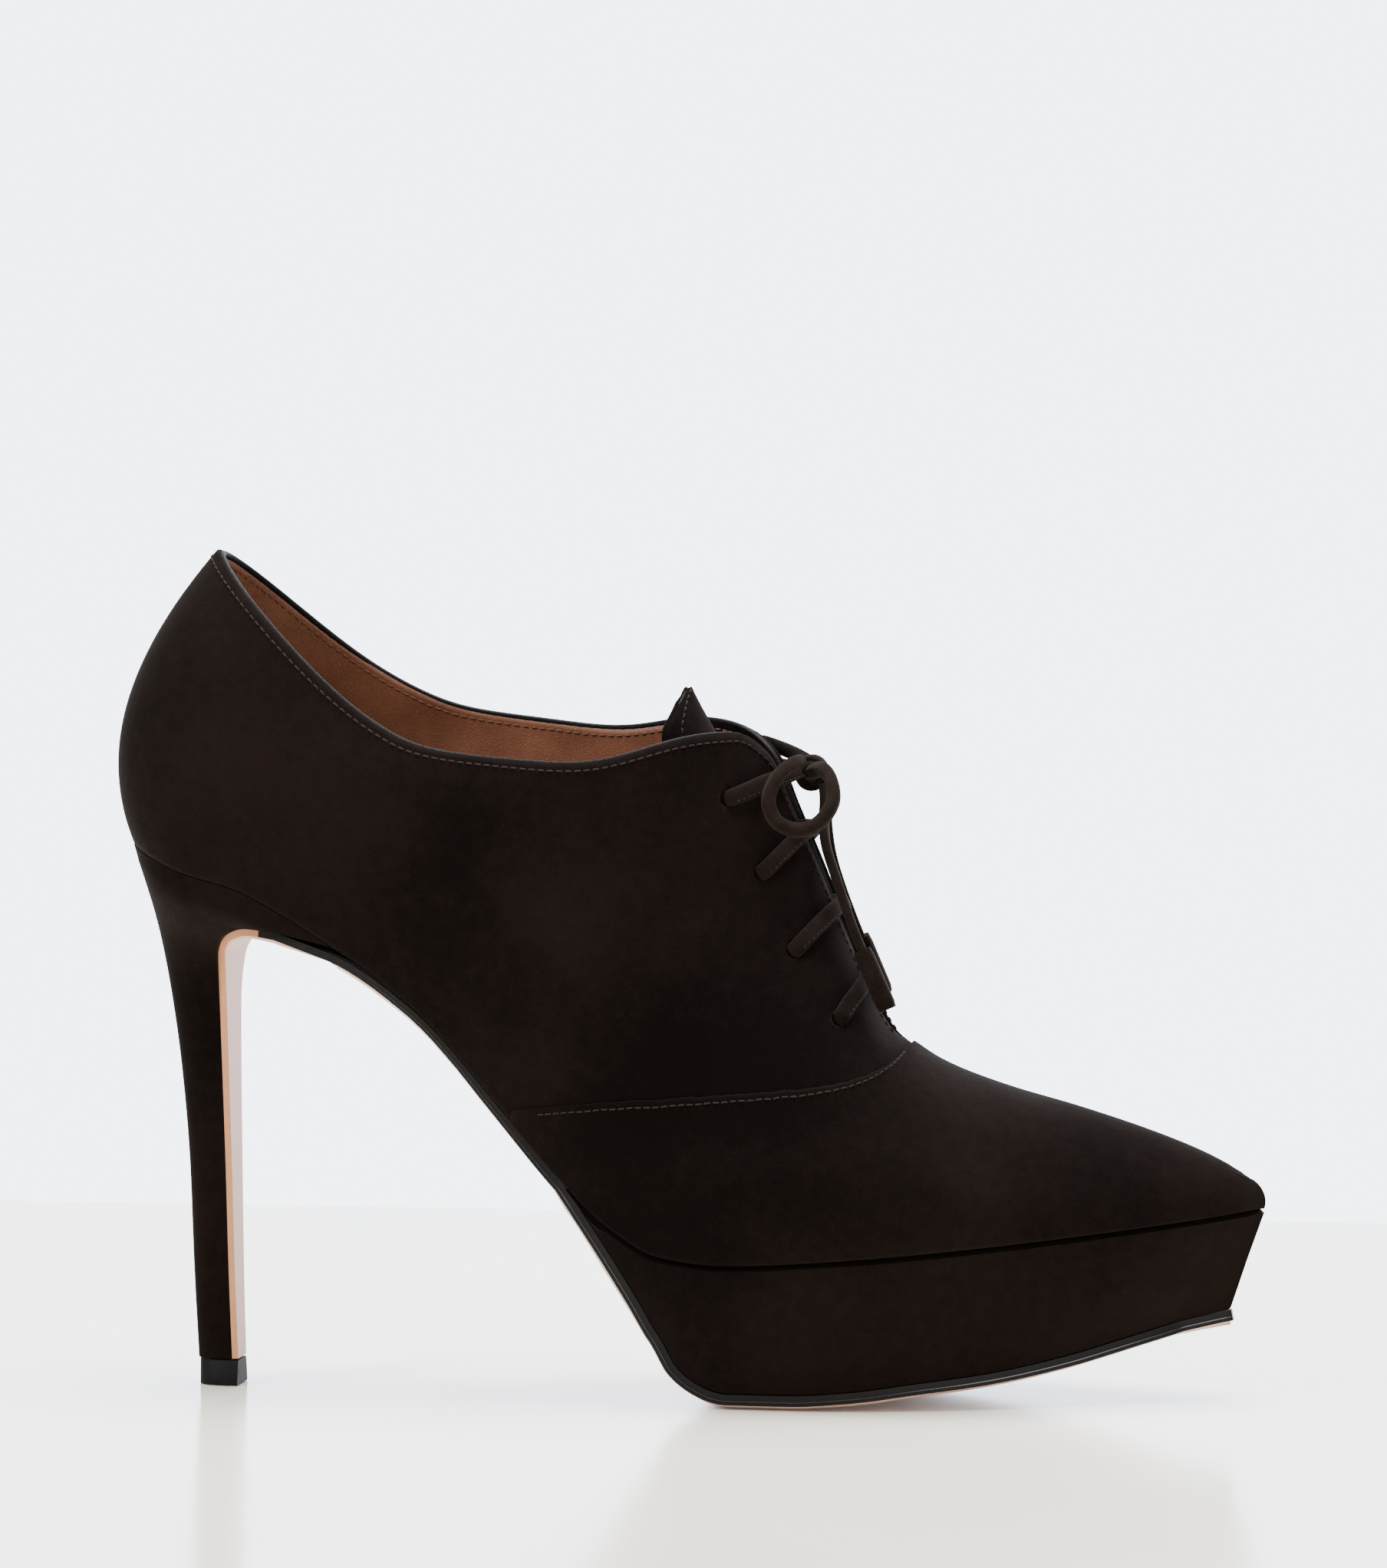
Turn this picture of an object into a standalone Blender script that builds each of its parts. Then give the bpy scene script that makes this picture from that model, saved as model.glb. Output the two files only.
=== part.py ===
# Lace up platform heel: a right shoe, in metres, toe along +X, little-toe side towards -Y, +Z up.
# The origin lies on the floor, under the tread of the forefoot.
import math

import bmesh
import bpy
from mathutils import Vector

# Driving sizes
TREAD_TO_BACK = 0.1373      # tread point to the rearmost bulge of the heel
TREAD_TO_TOE = 0.1043       # tread point to the toe tip at the platform's top
SOLE_TO_TOE = 0.0978        # tread point to the toe tip of the outsole
SEAT_HEIGHT = 0.1148        # floor to the heel seam at the back
PLATFORM_HEIGHT = 0.0302    # floor to the platform's top under the ball
TOE_SPRING = 0.0100         # rise of the platform's top from the ball to the toe
SOLE_SPRING = 0.0158        # rise of the outsole's edge from the tread to the toe
BACK_HEIGHT = 0.0614        # heel seam to the collar's peak
INSTEP_HEIGHT = 0.1000      # unit for the heights of the collar, facings and ridge over the seam
BALL_WIDTH = 0.0690
WAIST_WIDTH = 0.0440
SEAT_WIDTH = 0.0490
UPPER_WALL = 0.0018
VAMP_STEP = 0.0008          # how far the vamp stands proud of the quarters
EYELET_RADIUS = 0.0017
GAP = 0.0003                # clearance between pieces that meet
INSOLE_THICKNESS = 0.0025
SOLE_THICKNESS = 0.0020
SHANK_THICKNESS = 0.0014    # the outsole's thickness under the arch
BREAST_THICKNESS = 0.0011   # the outsole's thickness down the front of the heel
SOLE_CROWN = 0.0009         # how far the middle of the outsole lies below its edge
SOLE_ROUNDING = 0.0030      # width of the rounded border of the outsole
PLATFORM_TAPER = 0.0048     # how far the platform's sides draw in towards the floor
PLATFORM_LIP = 0.0010       # rounding of the platform's top edge
TIP_HEIGHT = 0.0053         # heel top piece
TIP_FLARE = 0.0011
TONGUE_WALL = 0.0016
LACE_RADIUS = 0.0014
AGLET_RADIUS = 0.0019
AGLET_LENGTH = 0.0133

WIDTHS = {"seat": SEAT_WIDTH, "waist": WAIST_WIDTH, "ball": BALL_WIDTH}

# The seam over the heel and platform, seen from the side. Shares: place along the shoe, from -1 at the
# back over 0 at the tread to 1 at the toe; rise, of seat height over platform height; spring.
FEATHER = [
    # along, rise, spring
    (-0.975, 1.000, 0.00),
    (-0.871, 0.934, 0.00),
    (-0.792, 0.902, 0.00),
    (-0.722, 0.846, 0.00),
    (-0.634, 0.757, 0.00),
    (-0.565, 0.680, 0.00),
    (-0.489, 0.571, 0.00),
    (-0.446, 0.495, 0.00),
    (-0.385, 0.379, 0.00),
    (-0.280, 0.190, 0.00),
    (-0.203, 0.077, 0.00),
    (-0.130, 0.015, 0.00),
    (-0.036, 0.000, 0.00),
    (0.139, 0.000, 0.10),
    (0.497, 0.000, 0.43),
    (1.000, 0.000, 1.00),
]

# Half widths of the same seam from above, as shares of the width named in each row.
PLAN = [
    # along, width, little-toe side, big-toe side
    (-0.772, "seat", 0.496, 0.502),
    (-0.641, "seat", 0.486, 0.478),
    (-0.510, "waist", 0.514, 0.482),
    (-0.379, "waist", 0.527, 0.486),
    (-0.262, "waist", 0.582, 0.573),
    (-0.146, "ball", 0.414, 0.449),
    (-0.036, "ball", 0.446, 0.516),
    (0.116, "ball", 0.455, 0.551),
    (0.270, "ball", 0.435, 0.536),
    (0.434, "ball", 0.381, 0.478),
    (0.598, "ball", 0.296, 0.397),
    (0.752, "ball", 0.193, 0.304),
    (0.868, "ball", 0.096, 0.223),
    (0.950, "ball", 0.009, 0.151),
    (0.996, "ball", -0.052, 0.093),
]

# One rib of the upper a row: where it starts on the seam, where it ends on the collar, facing or ridge,
# its height there on each side, the middle and half width of the opening there (0 where the ridge is
# closed), and how its two inner control points push outward and how high they lie on the rib.
RIBS = [
    # foot, top, height -Y, height +Y, middle, half opening, push low, push high, low, high
    (-0.772, -0.626, 0.404, 0.448, 0.018, 0.337, 0.055, 0.045, 0.35, 0.70),
    (-0.700, -0.560, 0.398, 0.452, 0.014, 0.366, 0.060, 0.045, 0.35, 0.70),
    (-0.641, -0.492, 0.406, 0.469, 0.011, 0.388, 0.065, 0.050, 0.35, 0.70),
    (-0.510, -0.364, 0.525, 0.584, -0.004, 0.410, 0.085, 0.060, 0.35, 0.70),
    (-0.379, -0.240, 0.712, 0.764, -0.018, 0.395, 0.105, 0.075, 0.33, 0.70),
    (-0.262, -0.133, 0.930, 0.969, -0.033, 0.337, 0.105, 0.090, 0.32, 0.72),
    (-0.175, -0.070, 1.044, 1.060, -0.029, 0.254, 0.085, 0.110, 0.32, 0.74),
    (-0.124, -0.028, 1.074, 1.071, -0.020, 0.176, 0.070, 0.140, 0.32, 0.76),
    (-0.080, 0.019, 1.035, 1.035, 0.004, 0.090, 0.060, 0.180, 0.32, 0.78),
    (-0.029, 0.063, 0.929, 0.929, 0.012, 0.075, 0.050, 0.200, 0.33, 0.81),
    (0.039, 0.111, 0.812, 0.812, 0.014, 0.067, 0.045, 0.215, 0.35, 0.85),
    (0.116, 0.164, 0.668, 0.668, 0.017, 0.055, 0.040, 0.240, 0.38, 0.89),
    (0.193, 0.214, 0.536, 0.536, 0.025, 0.041, 0.036, 0.262, 0.42, 0.93),
    (0.255, 0.258, 0.444, 0.444, 0.035, 0.017, 0.032, 0.280, 0.46, 0.97),
    (0.289, 0.286, 0.416, 0.416, 0.042, 0.000, 0.030, 0.285, 0.48, 0.98),
    (0.357, 0.347, 0.366, 0.366, 0.045, 0.000, 0.028, 0.280, 0.50, 1.00),
    (0.482, 0.473, 0.302, 0.302, 0.052, 0.000, 0.025, 0.245, 0.52, 1.00),
    (0.636, 0.627, 0.240, 0.240, 0.058, 0.000, 0.020, 0.190, 0.54, 1.00),
    (0.781, 0.771, 0.175, 0.175, 0.064, 0.000, 0.016, 0.130, 0.55, 1.00),
    (0.887, 0.873, 0.121, 0.121, 0.067, 0.000, 0.012, 0.080, 0.55, 1.00),
    (0.950, 0.930, 0.084, 0.084, 0.070, 0.000, 0.008, 0.042, 0.55, 1.00),
]

# The centre back and the centre front rib, seen from the side: control points from the seam up.
BACK_RIB = [
    # along, height as a share of the back height
    (-0.975, 0.000),
    (-1.044, 0.360),
    (-0.960, 0.707),
    (-0.845, 1.000),
]
FRONT_RIB = [
    # along, height as a share of the instep height
    (0.990, 0.000),
    (0.997, 0.020),
    (0.985, 0.048),
    (0.957, 0.058),
]
CUP_DIP = (1.06, 1.16)      # how far the collar sags on its way up to the centre back, on each side
TOE_SIDE = 0.071            # the toe tip lies this share of the ball width towards the big toe

# The vamp's upper edge: place along the shoe, height over the platform's top by instep height.
VAMP_EDGE = [
    # along, height
    (-0.375, 0.306),
    (-0.269, 0.324),
    (-0.102, 0.342),
    (0.076, 0.358),
    (0.174, 0.371),
    (0.272, 0.408),
    (0.300, 0.450),
]

# The outsole's lower edge over the crown, from the wedge's end to the toe.
SOLE_LINE = [
    # along, height as a share of the platform height, spring
    (-0.290, 1.430, 0.00),
    (-0.235, 1.033, 0.00),
    (-0.192, 0.705, 0.00),
    (-0.146, 0.354, 0.00),
    (-0.117, 0.159, 0.00),
    (-0.087, 0.066, 0.00),
    (-0.058, 0.016, 0.00),
    (-0.036, 0.000, 0.00),
    (0.085, 0.000, 0.00),
    (0.204, 0.000, 0.04),
    (0.365, 0.000, 0.16),
    (0.522, 0.000, 0.28),
    (0.679, 0.000, 0.47),
    (0.836, 0.000, 0.73),
    (1.000, 0.000, 1.00),
]

# Sections of the heel from its tip up: front and back edge, the breast's width, and how far the section
# has turned from the slim D of the stiletto into the seat.
HEEL = [
    # front along, front height, back along, back height, breast width, seat share
    (-0.822, 0.049, -0.879, 0.049, 0.165, 0.00),
    (-0.826, 0.213, -0.886, 0.213, 0.190, 0.00),
    (-0.829, 0.411, -0.892, 0.411, 0.222, 0.00),
    (-0.832, 0.580, -0.904, 0.585, 0.262, 0.00),
    (-0.834, 0.721, -0.920, 0.727, 0.318, 0.02),
    (-0.831, 0.797, -0.936, 0.835, 0.440, 0.12),
    (-0.812, 0.836, -0.947, 0.895, 0.600, 0.35),
    (-0.771, 0.851, -0.957, 0.935, 0.760, 0.60),
    (-0.716, 0.844, -0.967, 0.968, 0.880, 0.82),
]
HEEL_WING = -0.640          # where the heel's cover runs out under the shank
WEDGE_END = -0.276          # where the platform runs out under the shank

# The tongue's middle line from its point down: place and height, its radius and its half angle.
TONGUE = [
    # along, height by instep height over the platform, radius by ball width, half angle
    (-0.113, 1.176, 0.16, 4.0),
    (-0.098, 1.135, 0.18, 34.0),
    (-0.075, 1.080, 0.19, 62.0),
    (-0.035, 1.005, 0.19, 76.0),
    (0.020, 0.940, 0.19, 72.0),
    (0.061, 0.858, 0.19, 66.0),
    (0.099, 0.758, 0.19, 60.0),
    (0.135, 0.660, 0.19, 54.0),
    (0.174, 0.560, 0.18, 48.0),
    (0.203, 0.478, 0.15, 40.0),
]
TONGUE_SIDE = 0.010         # the tongue's middle line lies this share of the ball width to one side

# Eyelets from the top down, on both facings.
EYELETS = [
    # along, height by instep height over the platform
    (-0.039, 0.953),
    (0.0135, 0.798),
    (0.082, 0.640),
    (0.171, 0.501),
]


def along(share):
    """Place on the X axis for a share of the shoe's length behind or in front of the tread."""
    return share * (TREAD_TO_BACK if share < 0 else TREAD_TO_TOE)


def smooth(rows, column, value):
    """Read a column of a table at a place, on a monotone cubic through its rows."""
    xs = [row[0] for row in rows]
    ys = [row[column] for row in rows]
    value = min(max(value, xs[0]), xs[-1])
    spans = [b - a for a, b in zip(xs, xs[1:])]
    steps = [(b - a) / s for a, b, s in zip(ys, ys[1:], spans)]
    slopes = [steps[0]]
    for left, right, a, b in zip(steps, steps[1:], spans, spans[1:]):
        if left * right <= 0:
            slopes.append(0.0)
        else:
            heavy, light = 2 * b + a, b + 2 * a
            slopes.append((heavy + light) / (heavy / left + light / right))
    slopes.append(steps[-1])
    k = 0
    while k < len(spans) - 1 and value > xs[k + 1]:
        k += 1
    t = (value - xs[k]) / spans[k]
    return ((1 + 2 * t) * (1 - t) ** 2 * ys[k] + t * (1 - t) ** 2 * spans[k] * slopes[k]
            + t * t * (3 - 2 * t) * ys[k + 1] + t * t * (t - 1) * spans[k] * slopes[k + 1])


def feather_height(share):
    """Height of the seam over the heel and platform."""
    rise = smooth(FEATHER, 1, share) * (SEAT_HEIGHT - PLATFORM_HEIGHT)
    return PLATFORM_HEIGHT + rise + smooth(FEATHER, 2, share) * TOE_SPRING


def half_width(share, side):
    """Distance of the seam from the middle line; side 0 is the little-toe side, 1 the big-toe side."""
    rows = [(row[0], row[2] * WIDTHS[row[1]], row[3] * WIDTHS[row[1]]) for row in PLAN]
    return smooth(rows, 1 + side, share)


TOP_ROWS = [(along(row[1]), *(feather_height(row[0]) + row[k] * INSTEP_HEIGHT for k in (2, 3)))
            for row in RIBS]


def bezier(points, t):
    """A point on the cubic with these four control points."""
    a, b, c, d = points
    s = 1 - t
    return a * s ** 3 + b * (3 * s * s * t) + c * (3 * s * t * t) + d * t ** 3


def rib(share, side):
    """Control points of the rib of the upper that starts at a share of the seam's length."""
    sign = (-1, 1)[side]
    top, middle, half = (smooth(RIBS, k, share) for k in (1, 4, 5))
    push_low, push_high, low, high = (smooth(RIBS, k, share) for k in (6, 7, 8, 9))
    foot = Vector((along(share), sign * half_width(share, side), feather_height(share)))
    level = smooth(TOP_ROWS, 1 + side, along(top))
    end = Vector((along(top), (middle + sign * half) * BALL_WIDTH, level))
    lower = foot.lerp(end, low)
    upper = foot.lerp(end, high)
    lower.y = foot.y + sign * push_low * BALL_WIDTH
    upper.y = end.y + sign * push_high * BALL_WIDTH
    return [foot, lower, upper, end]


def cup_rib(angle, side):
    """Control points of a rib round the heel: angle 0 is the side of the cup, 90 degrees its back."""
    turn, flat = math.sin(angle), math.cos(angle)
    ends = rib(RIBS[0][0], side)
    points = []
    for k, (start, (place, height)) in enumerate(zip(ends, BACK_RIB)):
        back = Vector((along(place), 0, SEAT_HEIGHT + height * BACK_HEIGHT))
        x = start.x + (back.x - start.x) * turn
        level = start.z + (back.z - start.z) * turn ** CUP_DIP[side]
        if k == 0:
            level = feather_height(x / TREAD_TO_BACK)
        points.append(Vector((x, start.y * flat, level)))
    return points


def front_rib():
    """Control points of the centre front rib at the toe."""
    side = TOE_SIDE * BALL_WIDTH
    level = feather_height(1.0)
    return [Vector((along(place), side, level + height * INSTEP_HEIGHT)) for place, height in FRONT_RIB]


CUP_STEPS = 8
RIB_STEPS = 2
ROWS = [0.0, 0.09, 0.2, 0.33, 0.46, 0.59, 0.71, 0.82, 0.91, 1.0]


def rib_places():
    """Shares along the seam where the upper has a rib: each row of the table and between them."""
    places = []
    for row, after in zip(RIBS, RIBS[1:]):
        for k in range(RIB_STEPS):
            places.append(row[0] + (after[0] - row[0]) * k / RIB_STEPS)
    places.append(RIBS[-1][0])
    return places


def side_ribs(side):
    """All ribs of one side, from the centre back to the toe."""
    ribs = [cup_rib(math.pi / 2 * (1 - k / CUP_STEPS), side) for k in range(CUP_STEPS)]
    ribs += [rib(place, side) for place in rib_places()]
    ribs.append(front_rib())
    return ribs


def sheet(name, columns_by_side):
    """An open surface through the ribs of both sides, welded where they meet."""
    mesh = bmesh.new()
    for side, columns in enumerate(columns_by_side):
        grid = [[mesh.verts.new(point) for point in column] for column in columns]
        for left, right in zip(grid, grid[1:]):
            for k in range(len(left) - 1):
                corners = [left[k], right[k], right[k + 1], left[k + 1]]
                mesh.faces.new(corners if side == 0 else corners[::-1])
    bmesh.ops.remove_doubles(mesh, verts=mesh.verts, dist=1e-6)
    bmesh.ops.dissolve_degenerate(mesh, edges=mesh.edges, dist=1e-6)
    return add_object(name, mesh)


def add_object(name, mesh):
    """Turn a finished bmesh into an object of the shoe's collection."""
    data = bpy.data.meshes.new(name)
    mesh.to_mesh(data)
    mesh.free()
    item = bpy.data.objects.new(name, data)
    SHOE.objects.link(item)
    return item


def finish(item, material):
    """Give an object its material and smooth shading that breaks at hard edges."""
    item.data.materials.clear()
    item.data.materials.append(material)
    item.data.shade_smooth()
    item.data.set_sharp_from_angle(angle=math.radians(40))


def solidify(item, thickness):
    """A wall on the inner side of an open surface."""
    wall = item.modifiers.new("wall", "SOLIDIFY")
    wall.thickness = thickness
    wall.offset = -1
    wall.use_even_offset = True


def combine(item, tool, operation):
    """Join a tool to an object or cut it away, and keep the tool as a hidden cutter."""
    step = item.modifiers.new(operation.lower(), "BOOLEAN")
    step.operation = operation
    step.solver = "EXACT"
    step.object = tool
    for home in tool.users_collection:
        home.objects.unlink(tool)
    CUTTERS.objects.link(tool)
    tool.hide_render = True
    tool.display_type = "WIRE"


def make_material(name, colour, roughness, metallic=0.0):
    """A plain principled material."""
    material = bpy.data.materials.new(name)
    material.use_nodes = True
    shader = material.node_tree.nodes["Principled BSDF"]
    shader.inputs["Base Color"].default_value = (*colour, 1)
    shader.inputs["Roughness"].default_value = roughness
    shader.inputs["Metallic"].default_value = metallic
    return material


def vamp_share(control):
    """Where a rib passes the vamp's edge: 0 at the seam below, 1 at its top."""
    rows = [(along(place), PLATFORM_HEIGHT + height * INSTEP_HEIGHT) for place, height in VAMP_EDGE]
    steps = 200
    for k in range(steps + 1):
        point = bezier(control, k / steps)
        if point.x < rows[-1][0] and point.z > smooth(rows, 1, point.x):
            return k / steps
    return 1.0


VAMP_FOOT = 0.03            # share of a rib under the vamp's lower edge


def make_upper(material):
    """Quarters and vamp as one hollow shell, the vamp a step in its wall, with punched eyelets."""
    controls = [side_ribs(side) for side in (0, 1)]
    upper = sheet("upper", [[[bezier(c, t) for t in ROWS] for c in ribs] for ribs in controls])
    solidify(upper, UPPER_WALL)
    vamp_columns = []
    for ribs in controls:
        columns = []
        for control in ribs:
            top = vamp_share(control)
            if control[0].x > along(VAMP_EDGE[0][0]) and top > 3 * VAMP_FOOT:
                columns.append([bezier(control, VAMP_FOOT + (top - VAMP_FOOT) * t) for t in ROWS])
        vamp_columns.append(columns)
    vamp = sheet("vamp_form", vamp_columns)
    lift = vamp.modifiers.new("lift", "DISPLACE")
    lift.strength = VAMP_STEP
    lift.mid_level = 0
    solidify(vamp, VAMP_STEP + UPPER_WALL / 2)
    finish(vamp, material)
    combine(upper, vamp, "UNION")
    weld = upper.modifiers.new("weld", "WELD")
    weld.merge_threshold = 0.00001
    finish(upper, material)
    return upper


def outline(inset=0.0, toe=TREAD_TO_TOE, end=None):
    """The seam from above, from the back round the little-toe side to the toe and back: shares and XY."""
    shares = []
    back = along(BACK_RIB[0][0])
    centre = along(RIBS[0][0])
    for k in range(CUP_STEPS):
        angle = math.pi / 2 * (1 - (k + 0.35) / CUP_STEPS)
        shares.append(((centre + (back - centre) * math.sin(angle)) / TREAD_TO_BACK, math.cos(angle)))
    shares += [(place, 1.0) for place in rib_places()]
    shares += [(0.978, 1.0), (0.996, 1.0)]
    if end is not None:
        shares = [(end, 1.0)] + [pair for pair in shares if pair[0] > end + 0.01]
    points = []
    for side in (0, 1):
        line = []
        for share, narrow in shares:
            x = share * (TREAD_TO_BACK if share < 0 else toe)
            line.append((share, Vector((x, (-1, 1)[side] * narrow * half_width(share, side)))))
        points += line if side == 0 else line[::-1]
    return inset_outline(points, inset)


def inset_outline(points, full_inset):
    """Move each point of a closed outline inward, less where the toe is too slim for it."""
    moved = []
    count = len(points)
    for k, (share, point) in enumerate(points):
        run = points[(k + 1) % count][1] - points[k - 1][1]
        inward = Vector((-run.y, run.x)).normalized()
        inset = full_inset
        if share > 0:
            inset = min(inset, 0.3 * (point - points[count - 1 - k][1]).length)
        moved.append((share, point + inward * inset))
    return moved


def stack(name, rings):
    """A solid between outlines stacked from its lower to its upper face, closed by strips across."""
    mesh = bmesh.new()
    loops = [[mesh.verts.new(point) for point in ring] for ring in rings]
    count = len(loops[0])
    for low, high in zip(loops, loops[1:]):
        for k in range(count):
            n = (k + 1) % count
            mesh.faces.new([low[k], low[n], high[n], high[k]])
    for k in range(count // 2 - 1):
        across = [k, k + 1, count - 2 - k, count - 1 - k]
        mesh.faces.new([loops[0][i] for i in reversed(across)])
        mesh.faces.new([loops[-1][i] for i in across])
    bmesh.ops.recalc_face_normals(mesh, faces=mesh.faces)
    return add_object(name, mesh)


def slope_lift(height, place, distance):
    """Rise that sets two surfaces this far apart where a height line slopes."""
    step = 0.002
    ahead = height(place + step) - height(place - step)
    run = along(place + step) - along(place - step)
    return distance * math.hypot(1, ahead / run)


def make_insole(material):
    """Sock and board inside the upper, just over the seam."""
    rings = []
    for lift in (0.0, INSOLE_THICKNESS):
        ring = []
        for share, point in outline(UPPER_WALL + 4 * GAP, toe=TREAD_TO_TOE - 4 * UPPER_WALL):
            rise = slope_lift(feather_height, share, lift)
            ring.append(Vector((point.x, point.y, feather_height(share) + rise)))
        rings.append(ring)
    insole = stack("insole", rings)
    finish(insole, material)
    return insole


def sole_edge(share):
    """Height of the outsole's lower edge, from the wedge's end to the toe."""
    rise = smooth(SOLE_LINE, 1, share) * PLATFORM_HEIGHT
    return SOLE_CROWN + rise + smooth(SOLE_LINE, 2, share) * SOLE_SPRING


def sole_thickness(share):
    """The outsole is thin under the arch and full under the platform."""
    rows = [(WEDGE_END - 0.16, SHANK_THICKNESS), (WEDGE_END, SOLE_THICKNESS)]
    return smooth(rows, 1, share)


def platform_foot(share):
    """Height of the platform's underside."""
    return sole_edge(share) + slope_lift(sole_edge, share, SOLE_THICKNESS + GAP)


def foot_outline(end, inset=0.0):
    """The outline of the platform's foot and the outsole; it draws in with the platform's depth."""
    points = []
    low = outline(PLATFORM_TAPER, toe=SOLE_TO_TOE, end=end)
    for (share, outer), (_, inner) in zip(outline(0.0, end=end), low):
        depth = (feather_height(share) - sole_edge(share)) / PLATFORM_HEIGHT
        full = smooth([(0.1, 0.0), (0.6, 0.8), (0.9, 1.0)], 1, depth) if share > WEDGE_END else 0.0
        points.append((share, outer.lerp(inner, full)))
    return inset_outline(points, inset)


def make_platform(material):
    """Covered wedge between the upper and the outsole; its sides draw in towards the floor."""
    rings = [[], [], []]
    outlines = (foot_outline(WEDGE_END), outline(0.0, end=WEDGE_END), outline(PLATFORM_LIP, end=WEDGE_END))
    for (share, foot), (_, outer), (_, inner) in zip(*outlines):
        under = 3 * GAP if share < WEDGE_END + 0.06 else GAP
        seam = feather_height(share) - slope_lift(feather_height, share, under)
        floor = platform_foot(share)
        lip = min(PLATFORM_LIP, 0.4 * (seam - floor))
        rings[0].append(Vector((foot.x, foot.y, floor)))
        rings[1].append(Vector((outer.x, outer.y, seam - lip)))
        rings[2].append(Vector((inner.x, inner.y, seam)))
    platform = stack("platform", rings)
    finish(platform, material)
    return platform


def heel_fronts():
    """Front edges of the heel's sections from the tip up: place, height and half width."""
    return [(along(row[0]), row[1] * SEAT_HEIGHT, row[4] * SEAT_WIDTH / 2) for row in HEEL]


def make_outsole(material):
    """Leather sole from the heel's tip up its breast, round the arch, down the shank and to the toe."""
    fronts = heel_fronts()
    shank = foot_outline(HEEL_WING, -GAP / 2)
    inner = foot_outline(HEEL_WING, SOLE_ROUNDING)
    half = len(shank) // 2
    carrier = [Vector((x, z)) for x, z, _ in fronts]
    for share, point in shank[:half]:
        carried = platform_foot(share) if share > WEDGE_END else feather_height(share)
        if share < HEEL_WING + 0.06:
            carried -= 2 * GAP
        carrier.append(Vector((point.x, carried)))
    normals = []
    for k in range(len(carrier)):
        run = carrier[min(k + 1, len(carrier) - 1)] - carrier[max(k - 1, 0)]
        normals.append(Vector((run.y, -run.x)).normalized())
    rings = [[], [], []]
    count = len(carrier)
    for side in (0, 1):
        line = [[], [], []]
        for k in range(count):
            early = min(k / (len(fronts) - 1), 1.0) ** 3
            thickness = BREAST_THICKNESS + (SHANK_THICKNESS - BREAST_THICKNESS) * early
            if k >= len(fronts):
                thickness = sole_thickness(shank[k - len(fronts)][0])
            if k < len(fronts):
                y = (-1, 1)[side] * fronts[k][2]
                edges = (Vector((0, y)), Vector((0, y * (1 - 0.1 * early))))
            else:
                place = k - len(fronts)
                pick = place if side == 0 else 2 * half - 1 - place
                edges = (shank[pick][1], inner[pick][1])
            depths = (GAP, GAP + thickness, GAP + thickness + SOLE_CROWN * early)
            for ring, depth, edge in zip(line, depths, (edges[0], edges[0], edges[1])):
                spot = carrier[k] + normals[k] * depth
                shift = 0.0
                if k >= len(fronts):
                    shift = edge.x - carrier[k].x
                ring.append(Vector((spot.x + shift, edge.y, spot.y)))
        for ring, points in zip(rings, line):
            ring += points if side == 0 else points[::-1]
    outsole = stack("outsole", rings[::-1])
    finish(outsole, material)
    return outsole


HEEL_SIDES = 20


def section_turn(k):
    """How far point k of a heel section lies round it, and how deep from its front."""
    turn = math.pi * k / (HEEL_SIDES - 1)
    return turn, math.sin(turn) ** 0.62


def seat_ring():
    """The heel's top face, which follows the seam from the wing round the back."""
    ring = []
    front, back, centre = along(HEEL_WING), along(BACK_RIB[0][0]), along(RIBS[0][0])
    for k in range(HEEL_SIDES):
        turn, depth = section_turn(k)
        side = 0 if k < HEEL_SIDES / 2 else 1
        x = front + (back - front) * depth
        share = x / TREAD_TO_BACK
        round_off = max(0.0, (centre - x) / (centre - back))
        y = (-1, 1)[side] * half_width(share, side) * math.sqrt(max(0.0, 1 - round_off ** 2))
        ring.append(Vector((x, y, feather_height(share) - slope_lift(feather_height, share, GAP))))
    return ring


def make_heel(material):
    """Covered stiletto: a slim D that opens into the seat."""
    seat = seat_ring()
    rings = []
    for row in HEEL:
        front, back = along(row[0]), along(row[2])
        low, high = row[1] * SEAT_HEIGHT, row[3] * SEAT_HEIGHT
        if row is HEEL[0]:
            low = high = TIP_HEIGHT + GAP
        ring = []
        for k in range(HEEL_SIDES):
            turn, depth = section_turn(k)
            slim = -row[4] * SEAT_WIDTH / 2 * math.cos(turn)
            y = slim + (seat[k].y - slim) * row[5]
            ring.append(Vector((front + (back - front) * depth, y, low + (high - low) * depth)))
        rings.append(ring)
    heel = stack("heel", rings + [seat])
    finish(heel, material)
    return heel


def make_tip(material):
    """Top piece under the heel, flared towards the floor."""
    row = HEEL[0]
    front = along(row[0]) + BREAST_THICKNESS + GAP
    back = along(row[2]) + GAP
    rings = []
    for level, flare in ((0.0, TIP_FLARE), (TIP_HEIGHT, 0.0)):
        ring = []
        for k in range(HEEL_SIDES):
            turn, depth = section_turn(k)
            y = -(row[4] * SEAT_WIDTH / 2 + flare) * math.cos(turn)
            ring.append(Vector((front + (back - front) * depth, y, level)))
        rings.append(ring)
    tip = stack("heel_top_piece", rings)
    finish(tip, material)
    return tip


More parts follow.
